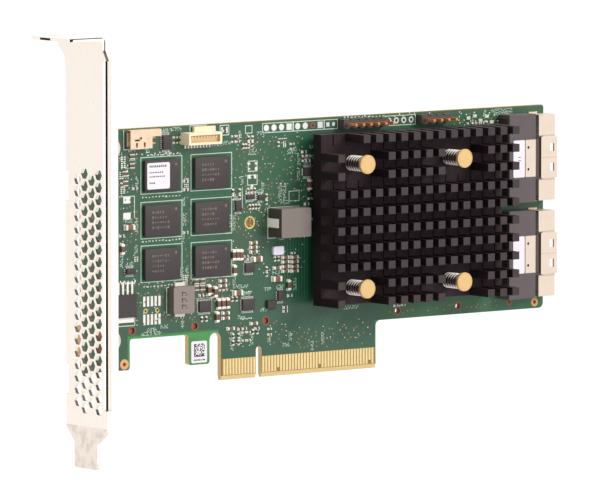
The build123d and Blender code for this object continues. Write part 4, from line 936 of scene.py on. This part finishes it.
class CardMetalSettings(bpy.types.PropertyGroup):
    """Sizes of the springs."""
    spring_turns: IntProperty(name="Spring turns", description="Turns of each push-pin spring", default=6,
                              min=3)
    wire_radius: FloatProperty(name="Wire radius", description="Radius of the spring wire", default=0.00017,
                               unit="LENGTH")


class CardStageSettings(bpy.types.PropertyGroup):
    """Camera and light."""
    azimuth: FloatProperty(name="Azimuth", description="Turn of the camera about the card", subtype="ANGLE",
                           default=math.radians(-37.209))
    elevation: FloatProperty(name="Elevation", description="Height angle of the camera", subtype="ANGLE",
                             default=math.radians(5.26))
    distance: FloatProperty(name="Distance", description="Camera to the card", unit="LENGTH", default=2.2431)
    focal_pixels: FloatProperty(name="Focal length", description="Focal length in picture pixels",
                                default=8346.3)
    world_light: FloatProperty(name="Surrounding light", description="Strength of the even light",
                               default=0.35)
    key_power: FloatProperty(name="Key light", description="Power of the main lamp", unit="POWER",
                             default=12.0)


class CARD_OT_board(bpy.types.Operator):
    """Finish the board: mask, plated holes, pads and vias"""
    bl_idname = "card.board"
    bl_label = "Circuit board"

    def execute(self, context):
        settings = context.scene.card_board
        dress_node("circuit_board", solder_mask(settings))
        screws = [middle_of(low, high)[::2] for low, high in solids_of("bracket_screws")]
        both_sides = ({"side": -1}, {"side": 1})
        ring_piece("plated_rings", "bare_copper", [
            *((hole, 0.86, 1.2, side) for hole in SLOT_HOLES for side in both_sides),
            *((NEAR_CORNER_HOLE, 0.5, 1.0, side) for side in both_sides),
            (CORNER_HOLE, 0.5, 1.2, {"side": 1}),
            *((screw, 1.6, 4.0, {}) for screw in screws),
            *((hole, 0.45, 0.85, {"steps": 16, "side": 1}) for hole in HEADER_HOLES),
            (LONE_HOLE, 0.35, 0.85, {"steps": 20})])
        walls = bmesh.new()
        for hole in SLOT_HOLES:
            add_lathe(walls, hole, [(SLOT_HOLE_R, FRONT), (SLOT_HOLE_R, BACK)], 28)
        make_piece("hole_walls", walls, plain("hole_copper"))
        ring_piece("tan_rings", "tan_ring", [(LEG_HOLE, 0.5, 1.4, {}), (CORNER_HOLE, 0.5, 1.2, {})])
        ring_piece("solder_plugs", "plug_copper", [
            (hole, 0.0, SLOT_HOLE_R, {"base": -0.6}) for hole in FILLED_SLOT_HOLES])
        ring_piece("eyelet_rims", "eyelet_rim", [
            (EYELET, 1.3, 1.75, {}), *((hole, 0.36, 0.68, {"steps": 20}) for hole in FOOTPRINT_HOLES)])
        ring_piece("eyelet_floor", "eyelet_resin", [(EYELET, 0.0, 1.28, {"base": -0.4})])
        round_holes = ((LEG_HOLE, 0.5), *((hole, 0.36) for hole in FOOTPRINT_HOLES), (NEAR_CORNER_HOLE, 0.5),
                       (CORNER_HOLE, 0.5), (LONE_HOLE, 0.35))
        ring_piece("filled_holes", "hole_copper", [
            *((hole, 0.0, radius, {"thick": MARK_T, "steps": 20}) for hole, radius in round_holes),
            *((hole, 0.0, 0.45, {"thick": MARK_T, "steps": 16}) for hole in EMPTY_ROW)])
        pads = bmesh.new()
        for pad in ROUND_PADS:
            add_ring(pads, pad, 0.0, 0.88, steps=24)
        for hole in EMPTY_ROW:
            add_ring(pads, hole, 0.45, 0.85, steps=16)
        add_ring(pads, SMALL_PAD, 0.0, 0.55, steps=20)
        for x, z, width, tall in BARE_PADS:
            add_plate(pads, x, z, width, tall, COPPER_T)
        make_piece("bare_pads", pads, plain("bare_pad"))
        strewn_dots("small_vias", SMALL_VIA_AREAS, plain("via_copper"),
                    radius=0.24, spacing=0.9, density=420000.0, seed=settings.via_seed)
        strewn_dots("back_vias", BACK_VIA_AREAS, plain("via_copper"),
                    radius=0.22, spacing=1.5, density=120000.0, seed=settings.via_seed + 2, back=True)
        strewn_dots("bright_vias", BRIGHT_VIA_AREAS, plain("bare_pad"),
                    radius=0.15, spacing=1.1, density=220000.0, seed=settings.via_seed + 4)
        strewn_dots("lamp_dots", LAMP_DOT_AREAS, plain("bare_pad"),
                    radius=0.2, spacing=0.6, density=900000.0, seed=settings.via_seed + 9)
        return {"FINISHED"}


class CARD_OT_legend(bpy.types.Operator):
    """Print the generic outlines and strokes of the legend"""
    bl_idname = "card.legend"
    bl_label = "Legend"

    def scribble(self, strokes, x, z, count, upright, draw):
        """Add a line of broken marks with the look of print, which spell nothing."""
        for i in range(count):
            along = (i - (count - 1) / 2) * 0.85
            for spot in draw.sample(range(6), 4):
                across = (spot % 2 - 0.5) * 0.4
                level = (spot // 2 - 1) * 0.36
                place = (x - level, z + along + across) if upright else (x + along + across, z + level)
                size = draw.choice(((0.34, 0.15), (0.15, 0.34), (0.22, 0.22)))
                add_mark(strokes, FRONT, *place, *size, INK_T)

    def execute(self, context):
        lines = bmesh.new()
        for low, high in solids_of("memory_chips"):
            x, _, z = middle_of(low, high)
            add_frame(lines, x + 0.45, z + 0.1, 13.5, 9.7, LEGEND_LINE)
        for x, z, width, tall in LEGEND_BOXES:
            add_frame(lines, x, z, width, tall, LEGEND_LINE)
        for x, z, width, tall in LEGEND_LINES:
            add_plate(lines, x, z, width, tall, INK_T)
        make_piece("legend_lines", lines, plain("legend_ink"))
        draw = random.Random(11)
        strokes = []
        for x, z, count, upright in LEGEND_WORDS:
            self.scribble(strokes, x, z, count, upright, draw)
        for node in ("large_capacitors", "resistor_arrays", "small_chips"):
            for low, high in solids_of(node):
                self.scribble(strokes, middle_of(low, high)[0], high[2] + 1.0, 3, False, draw)
        for x, z, count, pitch in DASH_ROWS:
            for i in range(count):
                add_mark(strokes, FRONT, x + i * pitch, z + draw.uniform(-0.12, 0.12),
                         draw.uniform(0.35, 0.75), draw.uniform(0.2, 0.36), INK_T)
        for low, high in solids_of("small_chips"):
            for z in (low[2] - 0.55, high[2] + 0.55):
                add_mark(strokes, FRONT, middle_of(low, high)[0], z, size_of(low, high)[0], 0.14, INK_T)
        placed_blocks("legend_strokes", strokes, plain("legend_ink"))
        return {"FINISHED"}


class CARD_OT_contacts(bpy.types.Operator):
    """Finish the gold contacts"""
    bl_idname = "card.contacts"
    bl_label = "Edge contacts"

    def execute(self, context):
        for name in ("edge_contacts_front", "edge_contacts_back"):
            dress_node(name, plain("contact_gold"))
        return {"FINISHED"}


class CARD_OT_bracket(bpy.types.Operator):
    """Finish the bracket and its screws"""
    bl_idname = "card.bracket"
    bl_label = "Bracket"

    def execute(self, context):
        dress_node("bracket", bracket_plate())
        dress_node("bracket_screws", plain("screw_steel"))
        return {"FINISHED"}


class CARD_OT_heatsink(bpy.types.Operator):
    """Finish the heatsink and what lies under it"""
    bl_idname = "card.heatsink"
    bl_label = "Heatsink"

    def execute(self, context):
        dress_node("heatsink", sink_anodised())
        dress_node("thermal_pad", plain("pad_rubber"))
        dress_node("controller_chip", plain("chip_laminate"))
        return {"FINISHED"}


class CARD_OT_push_pins(bpy.types.Operator):
    """Make the brass push pins and the wound springs under their heads"""
    bl_idname = "card.push_pins"
    bl_label = "Push pins and springs"

    def shade_coils(self, mesh, springs):
        """Store how far each point lies above or below its coil's axis, next to nothing on the far side: the
        mask of the painted shade on the wire.
        """
        half = size_of(*springs[0])[2] / 2 * MM
        axes = [[v * MM for v in middle_of(low, high)[::2]] for low, high in springs]
        values = []
        for vert in mesh.vertices:
            x, z = min(axes, key=lambda axis: math.hypot(vert.co.x - axis[0], vert.co.z - axis[1]))
            share = abs(vert.co.z - z) / half
            values.append(share if vert.co.x < x + 0.1 * half else 0.1 * share)
        rise = mesh.attributes.new("rise", "FLOAT", "POINT")
        rise.data.foreach_set("value", values)

    def execute(self, context):
        settings = context.scene.card_metal
        pins = bmesh.new()
        shanks = bmesh.new()
        coils = bpy.data.curves.new("heatsink_coils", "CURVE")
        coils.dimensions = "3D"
        coils.bevel_depth = settings.wire_radius
        coils.bevel_resolution = 2
        coils.use_fill_caps = True
        springs = solids_of("heatsink_springs")
        wire = settings.wire_radius / MM
        width, depth, _ = size_of(*springs[0])
        radius = width / 2 - wire
        start = springs[0][0][1] + wire
        length = depth - 2 * wire
        steps = 24
        count = settings.spring_turns * steps
        for low, high in solids_of("heatsink_pins"):
            x, _, z = middle_of(low, high)
            head = size_of(low, high)[0] / 2
            tip = low[1]
            barb = high[1]
            add_lathe(pins, (x, z), [
                (0, tip + 0.03), (head - 0.42, tip + 0.03), (head - 0.36, tip + 0.09),
                (head - 0.3, tip + 0.09), (head - 0.22, tip), (head - 0.08, tip), (head, tip + 0.08),
                (head, tip + 0.8), (head - 0.1, tip + 0.95), (1.2, tip + 1.05)], 48)
            add_lathe(shanks, (x, z), [(1.7, tip + 1.06), (1.3, tip + 1.3), (1.2, BACK + 0.15)], 40)
            add_lathe(pins, (x, z), [(1.2, BACK + 0.15), (1.95, BACK + 0.15), (1.9, BACK + 0.5),
                                     (0.6, barb - 0.1), (0, barb)], 40)
            spline = coils.splines.new("POLY")
            spline.points.add(count)
            for i in range(count + 1):
                angle = 2 * math.pi * i / steps
                spline.points[i].co = ((x + radius * math.cos(angle)) * MM, (start + length * i / count) * MM,
                                       (z + radius * math.sin(angle)) * MM, 1)
        make_piece("push_pins", pins, plain("pin_brass"), ("heatsink_pins",), smooth=40)
        # The shank is painted near black as shade inside the coil.
        make_piece("pin_shanks", shanks, plain("pin_shank"), smooth=40)
        coil_object = new_object("heatsink_coils_curve", coils)
        graph = context.evaluated_depsgraph_get()
        mesh = bpy.data.meshes.new_from_object(coil_object.evaluated_get(graph))
        bpy.data.objects.remove(coil_object)
        mesh.materials.clear()
        mesh.materials.append(spring_wire())
        mesh.shade_smooth()
        self.shade_coils(mesh, springs)
        coil_piece = new_object("heatsink_coils", mesh)
        finish_piece(coil_piece, ("heatsink_springs",))
        return {"FINISHED"}


MEMORY_GAP = 0.3
MEMORY_BODY = 0.9
MEMORY_TOP = MEMORY_GAP + MEMORY_BODY
BALL_PITCH = 0.8


class CARD_OT_memory(bpy.types.Operator):
    """Make the memory chips with their ball rows and marks"""
    bl_idname = "card.memory"
    bl_label = "Memory chips"

    def execute(self, context):
        bodies = bmesh.new()
        balls = []
        marks = bmesh.new()
        strokes = []
        draw = random.Random(5)
        for low, high in solids_of("memory_chips"):
            x, _, z = middle_of(low, high)
            width, _, tall = size_of(low, high)
            add_plate(bodies, x, z, width, tall, MEMORY_BODY, MEMORY_GAP)
            for i in range(13):
                for side in (-1, 1):
                    place = over(x + (i - 6) * BALL_PITCH, z + side * (tall / 2 - 0.55), MEMORY_GAP / 2)
                    balls.append((place, (0.42, MEMORY_GAP, 0.42), 0.0))
            top = FRONT - MEMORY_TOP
            add_lathe(marks, (high[0] - 1.3, high[2] - 1.3), [
                (0, top - MARK_T), (0.42, top - MARK_T), (0.42, top + MARK_T / 2)], 20)
            for line in range(4):
                for i in range(draw.randint(5, 7)):
                    add_mark(strokes, top, x - 3.2 + 0.85 * i, z + 2.2 - 1.35 * line,
                             draw.choice((0.3, 0.45, 0.6)), draw.choice((0.35, 0.7)))
        make_piece("memory_bodies", bodies, plain("black_moulding"), ("memory_chips",),
                   bevel=0.09)
        placed_blocks("memory_balls", balls, plain("solder_tin"), bevel=0.12)
        grey = plain("laser_mark")
        make_piece("memory_dots", marks, grey)
        placed_blocks("memory_marks", strokes, grey)
        return {"FINISHED"}


class CARD_OT_labels(bpy.types.Operator):
    """Finish the paper labels with generic print"""
    bl_idname = "card.labels"
    bl_label = "Labels"

    def execute(self, context):
        for name in ("chip_label", "board_label", "upper_port_label", "lower_port_label"):
            dress_node(name, plain("label_paper"))
        draw = random.Random(3)
        cells = []
        low, high = node_box("board_label")
        side = 0.29
        middle_x = middle_of(low, high)[0] + 0.05
        for i in range(12):
            for j in range(12):
                if i == 0 or j == 11 or draw.random() < 0.55:
                    add_mark(cells, low[1], middle_x + (i - 5.5) * side, high[2] - 0.85 - j * side,
                             side, side)
        for i in range(9):
            add_mark(cells, low[1], middle_x + (i - 4) * 0.42, low[2] + 0.75, draw.uniform(0.2, 0.36), 0.42)
        low, high = node_box("upper_port_label")
        x, _, z = middle_of(low, high)
        for i in range(2):
            add_mark(cells, low[1], x + 0.1, z - 0.5 + i * 0.95, 0.9, 0.22)
        low, high = node_box("chip_label")
        middle_z = middle_of(low, high)[2]
        for rise, tall, reach in ((2.5, 1.0, 0.86), (0.9, 0.6, 0.72), (-0.2, 0.6, 0.78), (-1.9, 0.8, 0.34)):
            x = low[0] + 0.7
            while x < low[0] + size_of(low, high)[0] * reach:
                length = draw.uniform(0.3, 0.6)
                middle_x = x + length / 2
                add_mark(cells, low[1], middle_x, middle_z + rise, length, tall * 0.36)
                add_mark(cells, low[1], middle_x, middle_z + rise + tall * 0.32,
                         length * draw.uniform(0.4, 1.0), tall * 0.2)
                x += length + 0.2
        placed_blocks("label_marks", cells, plain("label_print"))
        return {"FINISHED"}


PORT_PITCH = 0.8


class CARD_OT_ports(bpy.types.Operator):
    """Finish the two cable ports"""
    bl_idname = "card.ports"
    bl_label = "Cable ports"

    def execute(self, context):
        toes = []
        for side in ("upper", "lower"):
            dress_node(f"{side}_port_housing", port_nylon())
            dress_node(f"{side}_port_shell", port_shell_tin(side))
            dress_node(f"{side}_port_latch", latch_tin())
            # The leads get a dark finish as painted shadow.
            dress_node(f"{side}_port_leads", plain("dark_leads"))
            low, high = node_box(f"{side}_port_leads")
            for i in range(int((high[2] - low[2]) / PORT_PITCH)):
                place = (low[0] + 0.3, FRONT - 0.3, low[2] + 0.5 + PORT_PITCH * i)
                toes.append((place, (0.5, 0.02, 0.3), 0.0))
        placed_blocks("port_lead_toes", toes, plain("solder_tin"))
        return {"FINISHED"}


class CARD_OT_connectors(bpy.types.Operator):
    """Finish the small connectors and pin headers"""
    bl_idname = "card.connectors"
    bl_label = "Connectors and headers"

    def execute(self, context):
        dress_node("battery_connector", blush_nylon())
        dress_node("sensor_connector", cream_nylon())
        dress_node("battery_contacts", plain("pin_gold"))
        dress_node("sensor_contacts", plain("solder_tin"))
        for side in ("long", "short"):
            dress_node(f"{side}_header_body", plain("black_plastic"))
            dress_node(f"{side}_header_pins", plain("pin_gold"))
        return {"FINISHED"}


# Strokes of the mark on the small inductor, which spell nothing: offsets along X and Z, width and height
INDUCTOR_STROKES = ((-0.6, 0.0, 0.3, 1.2), (0.1, 0.3, 1.0, 0.26), (0.75, -0.3, 0.3, 0.5))


class CARD_OT_power(bpy.types.Operator):
    """Finish the inductors, the transistor, the diode and the crystal"""
    bl_idname = "card.power"
    bl_label = "Power parts"

    def execute(self, context):
        # The last colour of each ferrite is painted shade for the side that faces the bracket.
        dress_node("small_inductor", ferrite("pressed_ferrite", (136, 123, 118), (92, 84, 74)))
        dress_node("large_inductor", ferrite("pressed_iron", (122, 112, 106), (40, 40, 32)))
        dress_node("large_inductor_clips", plain("clip_tin"))
        for name in ("small_inductor_terminals", "power_transistor_leads"):
            dress_node(name, plain("solder_tin"))
        low, high = node_box("small_inductor")
        x, _, z = middle_of(low, high)
        strokes = []
        for i in range(3):
            for across, along, width, tall in INDUCTOR_STROKES:
                add_mark(strokes, low[1], x + across, z + (i - 1) * 1.7 + along, width, tall)
        placed_blocks("inductor_marks", strokes, plain("label_print"))
        dress_node("crystal", plain("crystal_can"))
        for name in ("power_transistor", "diode"):
            dress_node(name, plain("black_moulding"))
        return {"FINISHED"}


FOOT_PITCH = 0.5
# Pairs of leaning leads: x and z
LEAD_FORKS = ((-45.2, 27.6), (-43.9, 27.6), (-42.7, 27.6), (-41.5, 27.6))
# Fields of fine feet: x, z, columns, rows and both pitches
COMB_FIELDS = (
    (-45.2, 61.4, 2, 6, 0.9, 0.55), (-45.8, 57.4, 2, 4, 0.8, 0.55), (-45.4, 54.4, 2, 6, 0.9, 0.5),
    (-24.6, 54.6, 3, 7, 0.55, 0.5), (-25.0, 28.8, 3, 6, 0.55, 0.5), (7.6, 33.4, 4, 1, 0.4, 0.5),
    (6.8, 63.8, 5, 1, 0.6, 0.5), (-41.0, 34.6, 2, 3, 0.8, 0.5))


class CARD_OT_chips(bpy.types.Operator):
    """Make the small chips with a row of feet along each side"""
    bl_idname = "card.chips"
    bl_label = "Small chips"

    def execute(self, context):
        bodies = []
        feet = []
        for low, high in solids_of("small_chips"):
            size = size_of(low, high)
            middle = middle_of(low, high)
            bodies.append((middle, size, 0.0))
            for axis in (0, 2):
                other = 2 - axis
                count = max(2, int(size[axis] / FOOT_PITCH))
                for i in range(count):
                    for side in (-1, 1):
                        place = [0, FRONT - 0.06, 0]
                        place[axis] = middle[axis] + (i - (count - 1) / 2) * FOOT_PITCH
                        place[other] = middle[other] + side * (size[other] / 2 + 0.12)
                        foot = [0.26, 0.12, 0.26]
                        foot[other] = 0.45
                        feet.append((place, foot, 0.0))
        placed_blocks("chip_bodies", bodies, plain("black_moulding"), ("small_chips",),
                      bevel=0.07)
        for x, z in LEAD_FORKS:
            for lean in (-0.5, 0.5):
                feet.append((over(x + lean * 0.8, z + 0.5, 0.06), (0.32, 0.1, 1.1), lean))
        for x0, z0, columns, rows, step_x, step_z in COMB_FIELDS:
            for i in range(columns):
                for j in range(rows):
                    place = over(x0 + i * step_x, z0 - j * step_z, 0.04)
                    feet.append((place, (step_x * 0.6, 0.06, 0.26), 0.0))
        placed_blocks("chip_feet", feet, plain("solder_tin"))
        return {"FINISHED"}


# Capacitors and resistors: node, slot and colour of the body
PASSIVES = (
    ("lying_capacitors", "ceramic_tan", (112, 88, 68)),
    ("standing_capacitors", "ceramic_tan", (104, 72, 54)),
    ("large_capacitors", "ceramic_tan", (118, 84, 60)),
    ("small_resistors", "resistor_black", (52, 48, 48)),
    ("resistor_arrays", "resistor_black", (84, 74, 64)),
    ("back_capacitors", "ceramic_tan", (146, 112, 86)))


class CARD_OT_passives(bpy.types.Operator):
    """Make the capacitors and resistors with tinned ends and solder pads"""
    bl_idname = "card.passives"
    bl_label = "Capacitors and resistors"

    def comb(self, ends, middle, size, long):
        """Add four terminals on each long side of a resistor array, and return its body."""
        across = 2 - long
        for i in range(4):
            for side in (-1, 1):
                place = list(middle)
                place[long] += (i - 1.5) * size[long] / 4
                place[across] += side * size[across] * 0.37
                end = list(size)
                end[long] = size[long] * 0.15
                end[across] = size[across] * 0.26
                ends.append((place, end, 0.0))
        body = list(size)
        body[across] = size[across] * 0.52
        return middle, body, 0.0

    def fine_parts(self, ends, pads):
        """Add the very small parts that lie in short rows, each with its two pads."""
        bodies = []
        for x0, z0, columns, rows, step_x, step_z, upright in FINE_FIELDS:
            for i in range(columns):
                for j in range(rows):
                    x = x0 + i * step_x
                    z = z0 - j * step_z
                    long = 2 if upright else 0
                    body = [0.5, 0.35, 0.5]
                    body[long] = 0.6
                    bodies.append((over(x, z, 0.2), body, 0.0))
                    for side in (-1, 1):
                        place = list(over(x, z, 0.2))
                        place[long] += side * 0.42
                        end = [0.5, 0.4, 0.5]
                        end[long] = 0.28
                        ends.append((place, end, 0.0))
                        pad = [0.62, PAD_T, 0.62]
                        pad[long] = 0.5
                        spot = list(over(x, z, PAD_T / 2))
                        spot[long] += side * 0.5
                        pads.append((spot, pad, 0.0))
        placed_blocks("fine_parts", bodies, ceramic("fine_ceramic", (96, 76, 58)), bevel=0.04)

    def execute(self, context):
        ends = []
        pads = []
        self.fine_parts(ends, pads)
        for name, slot, color in PASSIVES:
            bodies = []
            for low, high in solids_of(name):
                size = size_of(low, high)
                middle = middle_of(low, high)
                long = 0 if size[0] > size[2] else 2
                if name == "resistor_arrays":
                    bodies.append(self.comb(ends, middle, size, long))
                    continue
                inner = list(size)
                inner[long] = size[long] * 0.62
                inner[1] = size[1] * 0.94
                bodies.append((middle, inner, 0.0))
                for side in (-1, 1):
                    place = list(middle)
                    place[long] += side * size[long] * 0.39
                    cap = list(size)
                    cap[long] = size[long] * 0.22
                    ends.append((place, cap, 0.0))
                    spot = list(place)
                    spot[long] += side * 0.14
                    spot[1] = FRONT - PAD_T / 2 if middle[1] < 0 else BACK + PAD_T / 2
                    pad = [cap[0] + 0.14, PAD_T, cap[2] + 0.14]
                    pads.append((spot, pad, 0.0))
            placed_blocks(f"{name}_bodies", bodies, ceramic(f"{name}_ceramic", color), (name,),
                          bevel=0.05)
        placed_blocks("solder_ends", ends, plain("solder_tin"), bevel=0.07)
        placed_blocks("solder_pads", pads, plain("solder_tin"))
        dress_node("indicator_lights", plain("lamp_resin"))
        return {"FINISHED"}


# Lamps: name, place in metres, size, share of the key power, and colour
LAMPS = (
    ("key_lamp", (0.75, -1.3, 0.85), 0.7, 1.5, (1.0, 0.98, 0.965)),
    ("fill_lamp", (-0.5, -1.7, 0.4), 0.9, 0.5, (0.98, 0.98, 1.0)),
    ("top_lamp", (0.1, 0.1, 1.2), 0.6, 0.45, (1.0, 1.0, 1.0)))
PICTURE_WIDTH = 600
SENSOR_WIDTH = 36.0
LOOK_AT = (0.0139, -0.000785, 0.0351)


class CARD_OT_stage(bpy.types.Operator):
    """Set the floor, the lamps, the surrounding light and the camera"""
    bl_idname = "card.stage"
    bl_label = "Stage"

    def execute(self, context):
        settings = context.scene.card_stage
        scene = context.scene
        bm = bmesh.new()
        bmesh.ops.create_grid(bm, x_segments=1, y_segments=1, size=4.0,
                              matrix=Matrix.Translation((0, 0, FLOOR_Z)))
        mesh = bpy.data.meshes.new("floor")
        bm.to_mesh(mesh)
        bm.free()
        floor = new_object("floor", mesh)
        floor.data.materials.append(self.floor_material())
        self.surrounding_light(scene, settings.world_light)
        for name, place, size, share, color in LAMPS:
            self.lamp(name, place, size, settings.key_power * share, color)
        self.camera(scene, settings)
        scene.view_settings.view_transform = "Standard"
        return {"FINISHED"}

    def background_factor(self, tree):
        """1 for rays from the camera and rays that metal or glass sends on."""
        path = put(tree, "ShaderNodeLightPath")
        seen = math_node(tree, "MAXIMUM", path.outputs["Is Camera Ray"], path.outputs["Is Glossy Ray"])
        return math_node(tree, "MAXIMUM", seen, path.outputs["Is Transmission Ray"])

    def floor_material(self):
        """Matt floor that looks white to the camera."""
        material = bpy.data.materials.new("pale_floor")
        material.use_nodes = True
        tree = material.node_tree
        tree.nodes.clear()
        matt = put(tree, "ShaderNodeBsdfDiffuse", {"Color": (0.9, 0.9, 0.9, 1)})
        glow = put(tree, "ShaderNodeEmission", {"Color": (1, 1, 1, 1), "Strength": 1.1})
        share = math_node(tree, "MULTIPLY", self.background_factor(tree), 0.9)
        mixed = put(tree, "ShaderNodeMixShader", {0: share, 1: matt.outputs[0], 2: glow.outputs[0]})
        put(tree, "ShaderNodeOutputMaterial", {"Surface": mixed.outputs[0]})
        return material

    def surrounding_light(self, scene, strength):
        """Even light from all sides, with a white background behind the card."""
        world = bpy.data.worlds.new("pale_surroundings")
        scene.world = world
        world.use_nodes = True
        tree = world.node_tree
        tree.nodes.clear()
        even = put(tree, "ShaderNodeBackground", {"Color": (1, 1, 1, 1), "Strength": strength})
        white = put(tree, "ShaderNodeBackground", {"Color": (1, 1, 1, 1), "Strength": 1.2})
        path = put(tree, "ShaderNodeLightPath")
        seen = math_node(tree, "MAXIMUM", path.outputs["Is Camera Ray"], path.outputs["Is Transmission Ray"])
        glossy = math_node(tree, "MULTIPLY", path.outputs["Is Glossy Ray"], 0.82)
        factor = math_node(tree, "MAXIMUM", seen, glossy)
        mixed = put(tree, "ShaderNodeMixShader", {0: factor, 1: even.outputs[0], 2: white.outputs[0]})
        put(tree, "ShaderNodeOutputWorld", {"Surface": mixed.outputs[0]})

    def lamp(self, name, place, size, power, color):
        """Add a round lamp that shines on the middle of the card."""
        light = bpy.data.lights.new(name, "AREA")
        light.shape = "DISK"
        light.size = size
        light.energy = power
        light.color = color
        holder = new_object(name, light)
        holder.location = place
        middle = Vector(middle_of(*CAD_BOX))
        holder.rotation_euler = (Vector(place) - middle).to_track_quat("Z", "Y").to_euler()

    def camera(self, scene, settings):
        """Add the camera fitted to the photo."""
        back = Vector((math.sin(settings.azimuth) * math.cos(settings.elevation),
                       -math.cos(settings.azimuth) * math.cos(settings.elevation),
                       math.sin(settings.elevation)))
        data = bpy.data.cameras.new("photo_camera")
        data.sensor_fit = "HORIZONTAL"
        data.sensor_width = SENSOR_WIDTH
        data.lens = settings.focal_pixels * SENSOR_WIDTH / PICTURE_WIDTH
        data.clip_start = 0.1
        data.clip_end = 20.0
        holder = new_object("photo_camera", data)
        holder.location = Vector(LOOK_AT) + back * settings.distance
        holder.rotation_euler = back.to_track_quat("Z", "Y").to_euler()
        scene.camera = holder


OPERATORS = (CARD_OT_board, CARD_OT_legend, CARD_OT_contacts, CARD_OT_bracket, CARD_OT_heatsink,
             CARD_OT_push_pins, CARD_OT_memory, CARD_OT_labels, CARD_OT_ports, CARD_OT_connectors,
             CARD_OT_power, CARD_OT_chips, CARD_OT_passives, CARD_OT_stage)
SETTINGS = (("card_board", CardBoardSettings), ("card_metal", CardMetalSettings),
            ("card_stage", CardStageSettings))


class CARD_PT_panel(bpy.types.Panel):
    """Sidebar panel with the card's pieces"""
    bl_idname = "CARD_PT_panel"
    bl_label = "Raid controller card"
    bl_space_type = "VIEW_3D"
    bl_region_type = "UI"
    bl_category = "Card"

    def draw(self, context):
        layout = self.layout
        for operator in OPERATORS:
            layout.operator(operator.bl_idname)
        for name, kind in SETTINGS:
            box = layout.box()
            for key in kind.__annotations__:
                box.prop(getattr(context.scene, name), key)


def register():
    for name, kind in SETTINGS:
        bpy.utils.register_class(kind)
        setattr(bpy.types.Scene, name, PointerProperty(type=kind))
    for operator in OPERATORS:
        bpy.utils.register_class(operator)
    bpy.utils.register_class(CARD_PT_panel)


def unregister():
    bpy.utils.unregister_class(CARD_PT_panel)
    for operator in reversed(OPERATORS):
        bpy.utils.unregister_class(operator)
    for name, kind in reversed(SETTINGS):
        delattr(bpy.types.Scene, name)
        bpy.utils.unregister_class(kind)


def main():
    """Build every piece in order."""
    register()
    for operator in OPERATORS:
        family, name = operator.bl_idname.split(".")
        getattr(getattr(bpy.ops, family), name)()


if __name__ == "__main__":
    main()
